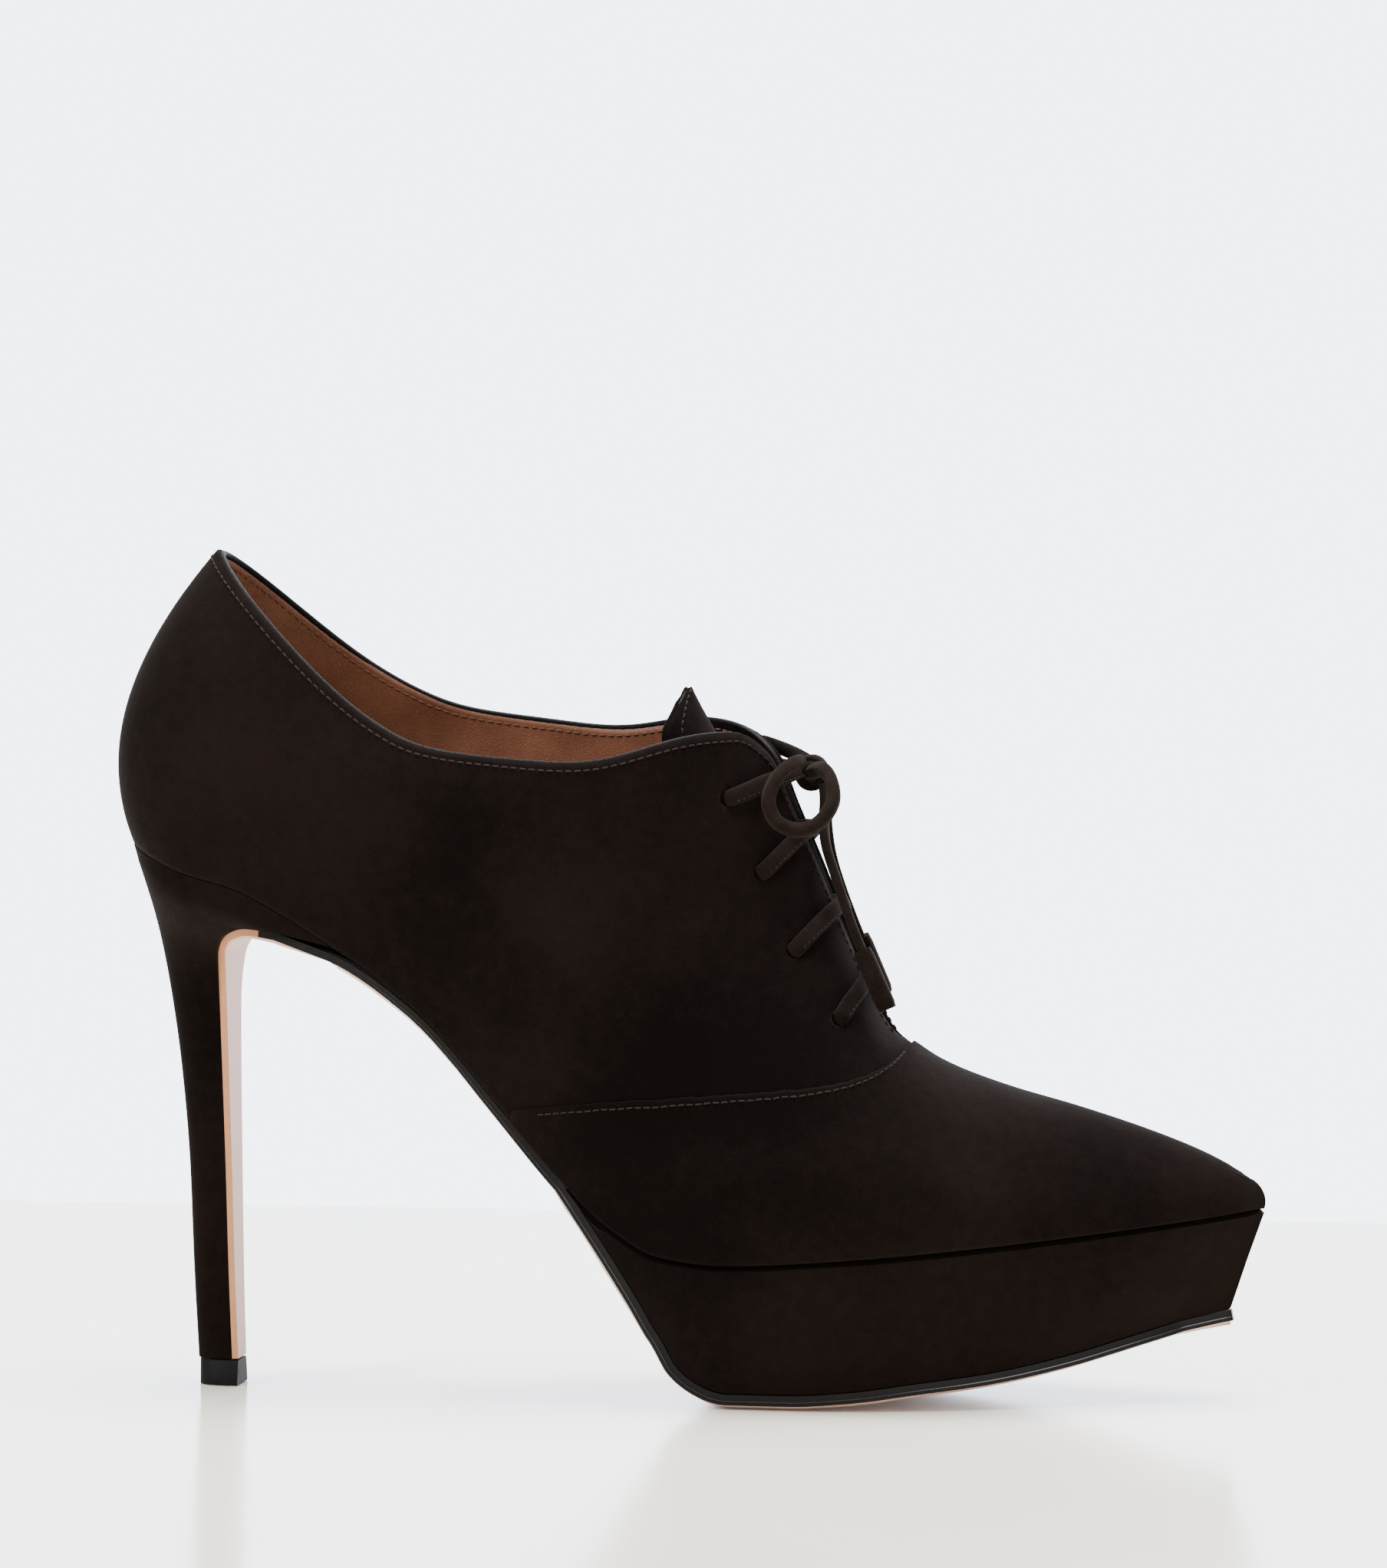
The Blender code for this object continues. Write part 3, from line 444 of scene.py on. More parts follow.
knot, _ = [ride(knot_turn(f"knot_turn_{k}", *turn)) for k, turn in enumerate(KNOT_TURNS)]
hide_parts("lace_knot")

# %% [markdown]
# The upper's shape is worked out here again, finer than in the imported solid, from the same sizes
# and the same short tables. A rib is a cubic curve from the seam over the sole up to the collar,
# the facing or the ridge of the vamp, and the tables say where each rib starts, ends and bulges.
# Places along the shoe are shares of the length from the tread to the back or to the toe, and
# side 0 is the little-toe side at -Y.

# %% Sizes of the shoe
TREAD_TO_BACK = 0.1373
TREAD_TO_TOE = 0.1043
SEAT_HEIGHT = 0.1148
PLATFORM_HEIGHT = 0.0302
TOE_SPRING = 0.0100
BACK_HEIGHT = 0.0614
INSTEP_HEIGHT = 0.1000
BALL_WIDTH = 0.0690
SIGNS = (-1, 1)
WIDTHS = {"seat": 0.0490, "waist": 0.0440, "ball": BALL_WIDTH}

FEATHER = [
    # along, rise, spring
    (-0.975, 1.000, 0.00),
    (-0.871, 0.934, 0.00),
    (-0.792, 0.902, 0.00),
    (-0.722, 0.846, 0.00),
    (-0.634, 0.757, 0.00),
    (-0.565, 0.680, 0.00),
    (-0.489, 0.571, 0.00),
    (-0.446, 0.495, 0.00),
    (-0.385, 0.379, 0.00),
    (-0.280, 0.190, 0.00),
    (-0.203, 0.077, 0.00),
    (-0.130, 0.015, 0.00),
    (-0.036, 0.000, 0.00),
    (0.139, 0.000, 0.10),
    (0.497, 0.000, 0.43),
    (1.000, 0.000, 1.00),
]
PLAN = [
    (-0.772, "seat", 0.496, 0.502), (-0.641, "seat", 0.486, 0.478),
    (-0.510, "waist", 0.514, 0.482), (-0.379, "waist", 0.527, 0.486),
    (-0.262, "waist", 0.582, 0.573), (-0.146, "ball", 0.414, 0.449),
    (-0.036, "ball", 0.446, 0.516), (0.116, "ball", 0.455, 0.551),
    (0.270, "ball", 0.435, 0.536), (0.434, "ball", 0.381, 0.478),
    (0.598, "ball", 0.296, 0.397), (0.752, "ball", 0.193, 0.304),
    (0.868, "ball", 0.096, 0.223), (0.950, "ball", 0.009, 0.151), (0.996, "ball", -0.052, 0.093),
]
RIBS = [
    # foot, top, height -Y, height +Y, middle, half opening, push low, push high, low, high
    (-0.772, -0.626, 0.404, 0.448, 0.018, 0.337, 0.055, 0.045, 0.35, 0.70),
    (-0.700, -0.560, 0.398, 0.452, 0.014, 0.366, 0.060, 0.045, 0.35, 0.70),
    (-0.641, -0.492, 0.406, 0.469, 0.011, 0.388, 0.065, 0.050, 0.35, 0.70),
    (-0.510, -0.364, 0.525, 0.584, -0.004, 0.410, 0.085, 0.060, 0.35, 0.70),
    (-0.379, -0.240, 0.712, 0.764, -0.018, 0.395, 0.105, 0.075, 0.33, 0.70),
    (-0.262, -0.133, 0.930, 0.969, -0.033, 0.337, 0.105, 0.090, 0.32, 0.72),
    (-0.175, -0.070, 1.044, 1.060, -0.029, 0.254, 0.085, 0.110, 0.32, 0.74),
    (-0.124, -0.028, 1.074, 1.071, -0.020, 0.176, 0.070, 0.140, 0.32, 0.76),
    (-0.080, 0.019, 1.035, 1.035, 0.004, 0.090, 0.060, 0.180, 0.32, 0.78),
    (-0.029, 0.063, 0.929, 0.929, 0.012, 0.075, 0.050, 0.200, 0.33, 0.81),
    (0.039, 0.111, 0.812, 0.812, 0.014, 0.067, 0.045, 0.215, 0.35, 0.85),
    (0.116, 0.164, 0.668, 0.668, 0.017, 0.055, 0.040, 0.240, 0.38, 0.89),
    (0.193, 0.214, 0.536, 0.536, 0.025, 0.041, 0.036, 0.262, 0.42, 0.93),
    (0.255, 0.258, 0.444, 0.444, 0.035, 0.017, 0.032, 0.280, 0.46, 0.97),
    (0.289, 0.286, 0.416, 0.416, 0.042, 0.000, 0.030, 0.285, 0.48, 0.98),
    (0.357, 0.347, 0.366, 0.366, 0.045, 0.000, 0.028, 0.280, 0.50, 1.00),
    (0.482, 0.473, 0.302, 0.302, 0.052, 0.000, 0.025, 0.245, 0.52, 1.00),
    (0.636, 0.627, 0.240, 0.240, 0.058, 0.000, 0.020, 0.190, 0.54, 1.00),
    (0.781, 0.771, 0.175, 0.175, 0.064, 0.000, 0.016, 0.130, 0.55, 1.00),
    (0.887, 0.873, 0.121, 0.121, 0.067, 0.000, 0.012, 0.080, 0.55, 1.00),
    (0.950, 0.930, 0.084, 0.084, 0.070, 0.000, 0.008, 0.042, 0.55, 1.00),
]
BACK_RIB = [(-0.975, 0.000), (-1.044, 0.360), (-0.960, 0.707), (-0.845, 1.000)]
FRONT_RIB = [(0.990, 0.000), (0.997, 0.020), (0.985, 0.048), (0.957, 0.058)]
CUP_DIP = (1.06, 1.16)
TOE_SIDE = 0.071


# %% [markdown]
# A table is read on a smooth curve that never overshoots its rows, so a few rows are enough for
# any number of places between them.

# %% Reading the tables
def along(share):
    return share * (TREAD_TO_BACK if share < 0 else TREAD_TO_TOE)


def smooth(rows, column, value):
    """Read a column of a table at a place, on a monotone cubic through its rows."""
    xs = [row[0] for row in rows]
    ys = [row[column] for row in rows]
    value = min(max(value, xs[0]), xs[-1])
    spans = [b - a for a, b in zip(xs, xs[1:])]
    steps = [(b - a) / s for a, b, s in zip(ys, ys[1:], spans)]
    slopes = [steps[0]]
    for left, right, a, b in zip(steps, steps[1:], spans, spans[1:]):
        if left * right <= 0:
            slopes.append(0.0)
        else:
            heavy, light = 2 * b + a, b + 2 * a
            slopes.append((heavy + light) / (heavy / left + light / right))
    slopes.append(steps[-1])
    k = 0
    while k < len(spans) - 1 and value > xs[k + 1]:
        k += 1
    t = (value - xs[k]) / spans[k]
    return ((1 + 2 * t) * (1 - t) ** 2 * ys[k] + t * (1 - t) ** 2 * spans[k] * slopes[k]
            + t * t * (3 - 2 * t) * ys[k + 1] + t * t * (t - 1) * spans[k] * slopes[k + 1])


def feather_height(share):
    rise = smooth(FEATHER, 1, share) * (SEAT_HEIGHT - PLATFORM_HEIGHT)
    return PLATFORM_HEIGHT + rise + smooth(FEATHER, 2, share) * TOE_SPRING


PLAN_ROWS = [(row[0], row[2] * WIDTHS[row[1]], row[3] * WIDTHS[row[1]]) for row in PLAN]
TOP_ROWS = [(along(row[1]), *(feather_height(row[0]) + row[k] * INSTEP_HEIGHT for k in (2, 3)))
            for row in RIBS]


# %% [markdown]
# A rib has four control points. Round the heel the ribs fan out from the first one of the table to
# the centre back, and one more rib closes the toe.

# %% Ribs
def bezier(points, t):
    a, b, c, d = points
    s = 1 - t
    return a * s ** 3 + b * (3 * s * s * t) + c * (3 * s * t * t) + d * t ** 3


def rib(share, side):
    """Control points of the rib that starts at a share of the seam's length; side 0 is -Y."""
    sign = SIGNS[side]
    top, middle, half = (smooth(RIBS, k, share) for k in (1, 4, 5))
    push_low, push_high, low, high = (smooth(RIBS, k, share) for k in (6, 7, 8, 9))
    foot = Vector((along(share), sign * smooth(PLAN_ROWS, 1 + side, share), feather_height(share)))
    level = smooth(TOP_ROWS, 1 + side, along(top))
    end = Vector((along(top), (middle + sign * half) * BALL_WIDTH, level))
    lower = foot.lerp(end, low)
    upper = foot.lerp(end, high)
    lower.y = foot.y + sign * push_low * BALL_WIDTH
    upper.y = end.y + sign * push_high * BALL_WIDTH
    return [foot, lower, upper, end]


def cup_rib(angle, side):
    """Control points of a rib round the heel, from its side at 0 to the centre back."""
    turn, flat = math.sin(angle), math.cos(angle)
    points = []
    for k, (start, (place, height)) in enumerate(zip(rib(RIBS[0][0], side), BACK_RIB)):
        back = Vector((along(place), 0, SEAT_HEIGHT + height * BACK_HEIGHT))
        x = start.x + (back.x - start.x) * turn
        level = start.z + (back.z - start.z) * turn ** CUP_DIP[side]
        if k == 0:
            level = feather_height(x / TREAD_TO_BACK)
        points.append(Vector((x, start.y * flat, level)))
    return points


def front_rib():
    level = feather_height(1.0)
    side = TOE_SIDE * BALL_WIDTH
    return [Vector((along(place), side, level + height * INSTEP_HEIGHT)) for place, height in FRONT_RIB]


# %% [markdown]
# The ribs of both sides make a grid of points. Grids are handy: a stitch row, a seam or a crease is
# a path over the same grid, so it always lies on the leather.

# %% The grid of the upper
CUP_STEPS = 22
RIB_STEPS = 7
ROW_COUNT = 44
EASED_RIBS = (3, CUP_STEPS + 7 * RIB_STEPS - 3)
EASE_PASSES = 14
TOE_FILLS = (0.45, 0.8)


def rib_places():
    places = []
    for row, after in zip(RIBS, RIBS[1:]):
        places += [row[0] + (after[0] - row[0]) * k / RIB_STEPS for k in range(RIB_STEPS)]
    return places + [RIBS[-1][0]]


def side_ribs(side):
    ribs = [cup_rib(math.pi / 2 * (1 - k / CUP_STEPS), side) for k in range(CUP_STEPS)]
    ribs += [rib(place, side) for place in rib_places()]
    last, front = ribs[-1], front_rib()
    for part in TOE_FILLS:
        ribs.append([a.lerp(b, part) for a, b in zip(last, front)])
    return ribs + [front]


def ease_collar(ribs):
    """Even out the collar's line between the ribs that the table gives; its ends stay put."""
    for _ in range(EASE_PASSES):
        ends = [control[3].copy() for control in ribs]
        for k in range(*EASED_RIBS):
            ribs[k][3] = ends[k] * 0.5 + (ends[k - 1] + ends[k + 1]) * 0.25
    return ribs


CONTROLS = [ease_collar(side_ribs(side)) for side in (0, 1)]


def grid_of(starts, ends, rows=ROW_COUNT):
    """Points of both sides between two heights on each rib, given as shares of the rib."""
    return [[[bezier(control, low + (high - low) * j / (rows - 1)) for j in range(rows)]
             for control, low, high in zip(*columns)] for columns in zip(CONTROLS, starts, ends)]


def whole(value):
    return [[value] * len(controls) for controls in CONTROLS]


# %% [markdown]
# A grid's outward normals come from its neighbouring points. Where the two sides meet, both take
# the mean normal, so that an offset keeps them closed.

# %% Normals and offsets
TOUCHING = 1e-6
NO_AREA = 1e-12


def normals_of(grid):
    result = []
    for side, columns in enumerate(grid):
        side_normals = []
        for i, column in enumerate(columns):
            left, right = columns[max(i - 1, 0)], columns[min(i + 1, len(columns) - 1)]
            line = []
            for j in range(len(column)):
                across = right[j] - left[j]
                up = column[min(j + 1, len(column) - 1)] - column[max(j - 1, 0)]
                normal = across.cross(up) if side == 0 else up.cross(across)
                if normal.length < NO_AREA:
                    normal = Vector((0, SIGNS[side], 0))
                line.append(normal.normalized())
            side_normals.append(line)
        result.append(side_normals)
    weld_normals(grid, result)
    return result


def weld_normals(grid, normals):
    for near, far, near_n, far_n in zip(grid[0], grid[1], normals[0], normals[1]):
        for j in range(len(near)):
            if (near[j] - far[j]).length < TOUCHING:
                mean = near_n[j] + far_n[j]
                mean = mean.normalized() if mean.length > TOUCHING else near_n[j]
                near_n[j] = mean
                far_n[j] = mean


def offset(grid, normals, distance):
    """The grid moved along its normals by distance(point, side)."""
    return [[[p + n * distance(p, side) for p, n in zip(line, directions)]
             for line, directions in zip(columns, side_normals)]
            for side, (columns, side_normals) in enumerate(zip(grid, normals))]


# %% [markdown]
# A sheet of leather is the welded surface through both sides of a grid, made solid by a Solidify
# modifier that grows inwards.

# %% Sheets of leather
WELD = 2e-6
SLIVER = 1e-7


def sheet_object(name, grid, material, keep=None):
    """The surface of a grid as an object; keep may leave columns out."""
    mesh = bmesh.new()
    for side, columns in enumerate(grid):
        verts = [[mesh.verts.new(point) for point in column] for column in columns]
        for i, (left, right) in enumerate(zip(verts, verts[1:])):
            if keep and not (keep(side, i) and keep(side, i + 1)):
                continue
            for k in range(len(left) - 1):
                corners = [left[k], right[k], right[k + 1], left[k + 1]]
                mesh.faces.new(corners if side == 0 else corners[::-1])
    loose = [v for v in mesh.verts if not v.link_faces]
    bmesh.ops.delete(mesh, geom=loose, context="VERTS")
    bmesh.ops.remove_doubles(mesh, verts=mesh.verts, dist=WELD)
    bmesh.ops.dissolve_degenerate(mesh, edges=mesh.edges, dist=SLIVER)
    return object_from(name, mesh, material)


def wall(item, thickness):
    modifier = item.modifiers.new("wall", "SOLIDIFY")
    modifier.thickness = thickness
    modifier.offset = -1
    modifier.use_even_offset = False


def made_real(item):
    """Replace an object's mesh by what its modifiers make of it."""
    ready = item.evaluated_get(bpy.context.evaluated_depsgraph_get())
    data = bpy.data.meshes.new_from_object(ready)
    item.modifiers.clear()
    item.data = data


OUTER = grid_of(whole(0.0), whole(1.0))
OUTER_N = normals_of(OUTER)
print("upper grid", len(OUTER[0]), "ribs a side,", ROW_COUNT, "rows")

# %% [markdown]
# The creases of worn or lasted suede are very soft on this shoe: a long shallow hollow runs from
# the waist up to the facings, where the quarters are pulled over the last, and the heel cup has a
# faint swelling. They are listed as troughs and ridges, each an oval with a depth.

# %% Soft hollows and ridges
HOLLOWS = [
    # centre x, centre z, half length, half width, tilt in degrees, depth, side
    (-0.048, 0.100, 0.030, 0.0100, -38, -0.00055, 0),
    (-0.030, 0.082, 0.026, 0.0080, -42, -0.00040, 0),
    (-0.070, 0.118, 0.024, 0.0100, -30, -0.00035, 0),
    (-0.012, 0.104, 0.016, 0.0060, 62, -0.00035, 0),
    (-0.090, 0.128, 0.020, 0.0140, 10, 0.00030, 0),
    (-0.048, 0.102, 0.030, 0.0100, -38, -0.00045, 1),
    (-0.030, 0.084, 0.024, 0.0080, -40, -0.00035, 1),
    (0.052, 0.050, 0.022, 0.0060, -14, -0.00025, 0),
    (0.000, 0.048, 0.024, 0.0070, 4, 0.00030, 0),
    (0.052, 0.050, 0.022, 0.0060, -14, -0.00025, 1),
]
HOLLOW_GAIN = 2.4
HOLLOW_FALL = 1.6


def hollow_at(point, side):
    """How far the hollows and ridges of a side move a point out of the smooth surface."""
    total = 0.0
    for x, z, length, width, tilt, depth, where in HOLLOWS:
        if where != side:
            continue
        a = math.radians(tilt)
        dx, dz = point.x - x, point.z - z
        u = (dx * math.cos(a) + dz * math.sin(a)) / length
        v = (-dx * math.sin(a) + dz * math.cos(a)) / width
        total += depth * HOLLOW_GAIN * math.exp(-(u * u + v * v) * HOLLOW_FALL)
    return total


SURFACE = offset(OUTER, OUTER_N, hollow_at)
SURFACE_N = normals_of(SURFACE)

# %% [markdown]
# The quarters are one sheet of suede about a millimetre thick, and the lining is a second sheet
# inside it. Two real layers give the collar its true edge: dark suede outside, tan leather inside,
# and a thin black binding between them. Behind the facings the lining takes the dark suede finish
# as painted shade, for the shadow down in the throat.

# %% Quarters and lining
UPPER_WALL = 0.0018
SUEDE_THICK = 0.0009
LINING_THICK = 0.0007
SHADED_LINING_START = -0.018
SHADED_LINING_FOOT = PLATFORM_HEIGHT + 0.2 * INSTEP_HEIGHT

quarters = sheet_object("quarters", SURFACE, SUEDE)
wall(quarters, SUEDE_THICK)
ride(quarters)
INNER = offset(SURFACE, SURFACE_N, lambda point, side: LINING_THICK - UPPER_WALL)
INNER_FACE = offset(SURFACE, SURFACE_N, lambda point, side: -UPPER_WALL)
lining = sheet_object("lining", INNER, LINING)
# Painted shade: the lining's faces behind the facings, above this height, take the dark suede finish to
# stand for the shadow in the throat.
lining.data.materials.append(SUEDE)
for face in lining.data.polygons:
    if face.center.x > SHADED_LINING_START and face.center.z > SHADED_LINING_FOOT:
        face.material_index = 1
wall(lining, LINING_THICK)
ride(lining)

# %% [markdown]
# The vamp is a second layer of suede over the quarters. Its upper edge is folded, so it ends in a
# soft step, and a row of stitches runs just below it. The step's line is a short table, and each
# rib tells where it crosses that line.

# %% Where the vamp ends
VAMP_EDGE = [
    (-0.375, 0.306), (-0.269, 0.324), (-0.102, 0.342), (0.076, 0.358), (0.174, 0.371),
    (0.272, 0.408), (0.300, 0.450),
]
CROSSING_STEPS = 300
FULL_RIB = 0.999
SHORTEST_VAMP = 0.03


def vamp_share(control):
    """Where a rib passes the vamp's edge."""
    rows = [(along(place), PLATFORM_HEIGHT + height * INSTEP_HEIGHT) for place, height in VAMP_EDGE]
    for k in range(CROSSING_STEPS + 1):
        point = bezier(control, k / CROSSING_STEPS)
        if point.x < rows[-1][0] and point.z > smooth(rows, 1, point.x):
            return k / CROSSING_STEPS
    return 1.0


VAMP_TOPS = [[vamp_share(control) for control in CONTROLS[side]] for side in (0, 1)]


def in_vamp(side, i):
    return CONTROLS[side][i][0].x > along(VAMP_EDGE[0][0]) and VAMP_TOPS[side][i] > SHORTEST_VAMP


# %% [markdown]
# The vamp's ridge is kept from standing up where its two sides meet: a point may rise only a little
# over its neighbours. At the very tip the wall's inner face folds over itself, because the leather
# turns more tightly there than it is thick. So the wall is made real, and the few points that poke
# through are pressed back under the ridge's own line.

# %% Vamp
VAMP_STEP = 0.0008
VAMP_FOOT = 0.004
FOLD_START = 0.25
FOLD_WIDTH = 0.0012
RIDGE_RISE = 0.00012
RIDGE_ROWS = ROW_COUNT // 4
TIP_COLUMNS = 4
TIP_START = 0.0985

vamp_grid = grid_of(whole(VAMP_FOOT), VAMP_TOPS)
vamp_normals = normals_of(vamp_grid)
for side in (0, 1):
    for i, column in enumerate(vamp_grid[side]):
        for j, point in enumerate(column):
            normal = vamp_normals[side][i][j]
            fold = 1.0
            if VAMP_TOPS[side][i] < FULL_RIB:
                part = min(1.0, (column[-1] - point).length / FOLD_WIDTH)
                fold = FOLD_START + (1 - FOLD_START) * math.sqrt(part)
            column[j] = point + normal * (hollow_at(point, side) + VAMP_STEP * fold)
for near, far in zip(*vamp_grid):
    if (near[-1] - far[-1]).length < TOUCHING:
        near[-1].z = far[-1].z = min(near[-1].z, max(near[-2].z, far[-2].z) + RIDGE_RISE)
for columns in vamp_grid:
    for i in range(len(columns) - TIP_COLUMNS, len(columns) - 1):
        for j in range(ROW_COUNT - RIDGE_ROWS, ROW_COUNT):
            level = (columns[i - 1][j].z + columns[i + 1][j].z) / 2 + RIDGE_RISE
            columns[i][j].z = min(columns[i][j].z, level)
vamp = sheet_object("vamp", vamp_grid, SUEDE, in_vamp)
wall(vamp, VAMP_STEP)
made_real(vamp)
ridge = sorted((column[-1].x, column[-1].z) for column in vamp_grid[0][-TIP_COLUMNS - 1:])
for vert in vamp.data.vertices:
    if vert.co.x > TIP_START:
        vert.co.z = min(vert.co.z, smooth(ridge, 1, vert.co.x))
ride(vamp)
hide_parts("upper")
VAMP_N = normals_of(vamp_grid)
print("vamp", len(vamp.data.polygons), "faces")

# %% [markdown]
# From here on, paths over the leather are needed for the binding and the stitches. A helper walks
# down a rib from its top by a real distance, and another lays short raised threads along a path.

# %% Paths and stitches
def down_rib(column, normals, distance):
    """Point and normal at a distance from the top end of a rib, along it."""
    left = distance
    for j in reversed(range(1, len(column))):
        step = (column[j] - column[j - 1]).length
        if step >= left and step > 0:
            t = left / step
            return column[j].lerp(column[j - 1], t), normals[j].lerp(normals[j - 1], t).normalized()
        left -= step
    return column[0], normals[0]


def resample(path, pitch):
    """Cut a path of (point, normal) into equal steps."""
    result = [path[0]]
    need = pitch
    for (a, na), (b, nb) in zip(path, path[1:]):
        length = (b - a).length
        done = 0.0
        while length - done >= need and length > 0:
            done += need
            t = done / length
            result.append((a.lerp(b, t), na.lerp(nb, t).normalized()))
            need = pitch
        need -= length - done
    return result


STITCH_FILL = 0.68


def stitch_row(name, path, material, pitch=0.0019, thread=0.00021):
    """A row of short threads, each a small raised arch over the leather."""
    curve = bpy.data.curves.new(name, "CURVE")
    curve.dimensions = "3D"
    curve.bevel_depth = thread
    curve.bevel_resolution = 1
    curve.use_fill_caps = True
    spots = resample(path, pitch)
    for (a, na), (b, _) in zip(spots, spots[1:]):
        middle = a.lerp(b, 0.5)
        half = (b - a) * (STITCH_FILL / 2)
        spline = curve.splines.new("POLY")
        spline.points.add(3)
        sink, rise = na * thread * 0.8, na * thread * 0.55
        ends = (middle - half - sink, middle - half * 0.5 + rise, middle + half * 0.5 + rise,
                middle + half - sink)
        for spot, point in zip(spline.points, ends):
            spot.co = (*point, 1)
    curve.materials.append(material)
    item = bpy.data.objects.new(name, curve)
    bpy.context.scene.collection.objects.link(item)
    return ride(item)


# %% [markdown]
# The collar has a row of stitches outside and one on the lining. Both follow the whole opening, from
# the throat's lower end round the back and forward again.

# %% Collar stitches
COLLAR_STITCH = 0.0017
LEAST_OPENING = 0.0016
OPEN_RIBS = [i for i, (near, far) in enumerate(zip(*CONTROLS))
             if (near[3] - far[3]).length > LEAST_OPENING or i == 0]


def loop_path(grid, normals, distance):
    """Path at a distance under the edge of the opening."""
    path = []
    for side in (0, 1):
        line = [down_rib(grid[side][i], normals[side][i], distance) for i in OPEN_RIBS]
        path += line[::-1] if side == 0 else line[1:]
    return path


stitch_row("collar_stitches", loop_path(SURFACE, SURFACE_N, COLLAR_STITCH), THREAD)
inner_normals = [[[-n for n in line] for line in side] for side in SURFACE_N]
stitch_row("lining_stitches", loop_path(INNER_FACE, inner_normals, COLLAR_STITCH), LINING_THREAD)

# %% [markdown]
# The binding is a narrow strip of black leather wrapped over the collar's edge. It is swept as an
# oval along the rim, half way through the wall.

# %% Collar binding
BINDING_SIZES = (0.0014, 0.0011)
BINDING_DEPTH = 0.00125
BINDING_DROP = 0.0001
BINDING_PITCH = 0.0010


def eased(path, passes):
    """A path whose points and normals are averaged with their neighbours, so a strip lies calmly."""
    for _ in range(passes):
        inner = []
        for (a, na), (b, nb), (c, nc) in zip(path, path[1:], path[2:]):
            inner.append((b * 0.5 + (a + c) * 0.25, (nb * 2 + na + nc).normalized()))
        path = [path[0]] + inner + [path[-1]]
    return path


rim = eased(resample(loop_path(SURFACE, SURFACE_N, BINDING_DROP), BINDING_PITCH), 6)
rim = eased([(point - normal * BINDING_DEPTH, normal) for point, normal in rim], 4)
ride(sweep("collar_binding", rim, *BINDING_SIZES, PIPING, sides=12))
print("collar binding, mm:", round(path_length([point for point, _ in rim]) * 1000))

# %% [markdown]
# The vamp's stitches run at one distance under its folded edge. They stop where the vamp gets too
# short for them.

# %% Vamp stitches
VAMP_STITCH = 0.0017
SHORTEST_ROW = 0.08

for side in (0, 1):
    ribs = [i for i, top in enumerate(VAMP_TOPS[side])
            if in_vamp(side, i) and SHORTEST_ROW < top < FULL_RIB]
    line = [down_rib(vamp_grid[side][i], VAMP_N[side][i], VAMP_STITCH) for i in ribs]
    stitch_row(f"vamp_stitches_{side}", line, THREAD, pitch=0.0018)

# %% [markdown]
# The eyelets are plain punched holes, four a side, with nothing set in them. Their places are given
# as seen from the side, so the leather's point there is searched for on finer and finer grids.

# %% Where the eyelets lie
EYELETS = [(-0.039, 0.953), (0.0135, 0.798), (0.082, 0.640), (0.171, 0.501)]
SEARCH_ROUNDS = 9
SEARCH_SHRINK = 0.4


def surface_at(x, z, side):
    """The point of the upper's outside at this place and height, and its outward normal."""
    share, t = 0.0, 0.8
    share_span, t_span = 0.35, 0.2
    for _ in range(SEARCH_ROUNDS):
        best = None
        for i in range(-4, 5):
            for j in range(-4, 5):
                a = min(max(share + share_span * i / 4, RIBS[0][0]), RIBS[-1][0])
                b = min(max(t + t_span * j / 4, 0.0), 1.0)
                point = bezier(rib(a, side), b)
                miss = (point.x - x) ** 2 + (point.z - z) ** 2
                if best is None or miss < best[0]:
                    best = (miss, a, b, point)
        _, share, t, point = best
        share_span, t_span = share_span * SEARCH_SHRINK, t_span * SEARCH_SHRINK
    across = bezier(rib(share + 0.01, side), t) - bezier(rib(share - 0.01, side), t)
    up = bezier(rib(share, side), min(t + 0.01, 1.0)) - bezier(rib(share, side), t - 0.01)
    normal = across.cross(up).normalized()
    return point, -normal if normal.y * SIGNS[side] < 0 else normal


HOLES = [[surface_at(along(place), PLATFORM_HEIGHT + height * INSTEP_HEIGHT, side)
          for place, height in EYELETS] for side in (0, 1)]
print("eyelets, mm:", [[round(c * 1000, 1) for c in point] for point, _ in HOLES[0]])

# %% [markdown]
# To punch them, short rods standing along the leather's own normal are cut away from the quarters
# and the lining with a Boolean modifier. The rods are deleted afterwards.

# %% Punch them
EYELET_RADIUS = 0.0017
ROD_LENGTH = 0.006


def rods():
    mesh = bmesh.new()
    for side_holes in HOLES:
        for point, normal in side_holes:
            turn = normal.to_track_quat("Z", "Y").to_matrix().to_4x4()
            turn.translation = point
            bmesh.ops.create_cone(mesh, cap_ends=True, segments=20, radius1=EYELET_RADIUS,
                                  radius2=EYELET_RADIUS, depth=ROD_LENGTH, matrix=turn)
    return object_from("rods", mesh, SUEDE)


cutter = rods()
for item in (quarters, lining):
    punch = item.modifiers.new("eyelets", "BOOLEAN")
    punch.operation = "DIFFERENCE"
    punch.solver = "EXACT"
    punch.object = cutter
    made_real(item)
bpy.data.objects.remove(cutter)
print("punched", len(quarters.data.polygons), "faces in the quarters")

# %% [markdown]
# The lace is one strip on each side of the throat's middle. Followed from the bottom, it comes out
# of a hole, rises over its own facing's edge, dips under the facing opposite and comes out of the
# next hole up. So from the side only the short rising pieces show, and each of them starts in a
# hole. The last pieces run from the top holes to the knot.

# %% Lace crossings
CROSS_WIDTH = 0.0035
CROSS_THICK = 0.0020
HOLE_DEPTH = 0.0034
UNDER_DEPTH = 0.0011
CROSS_PIECES = 6
AHEAD = Vector((0.91, 0, 0.41))


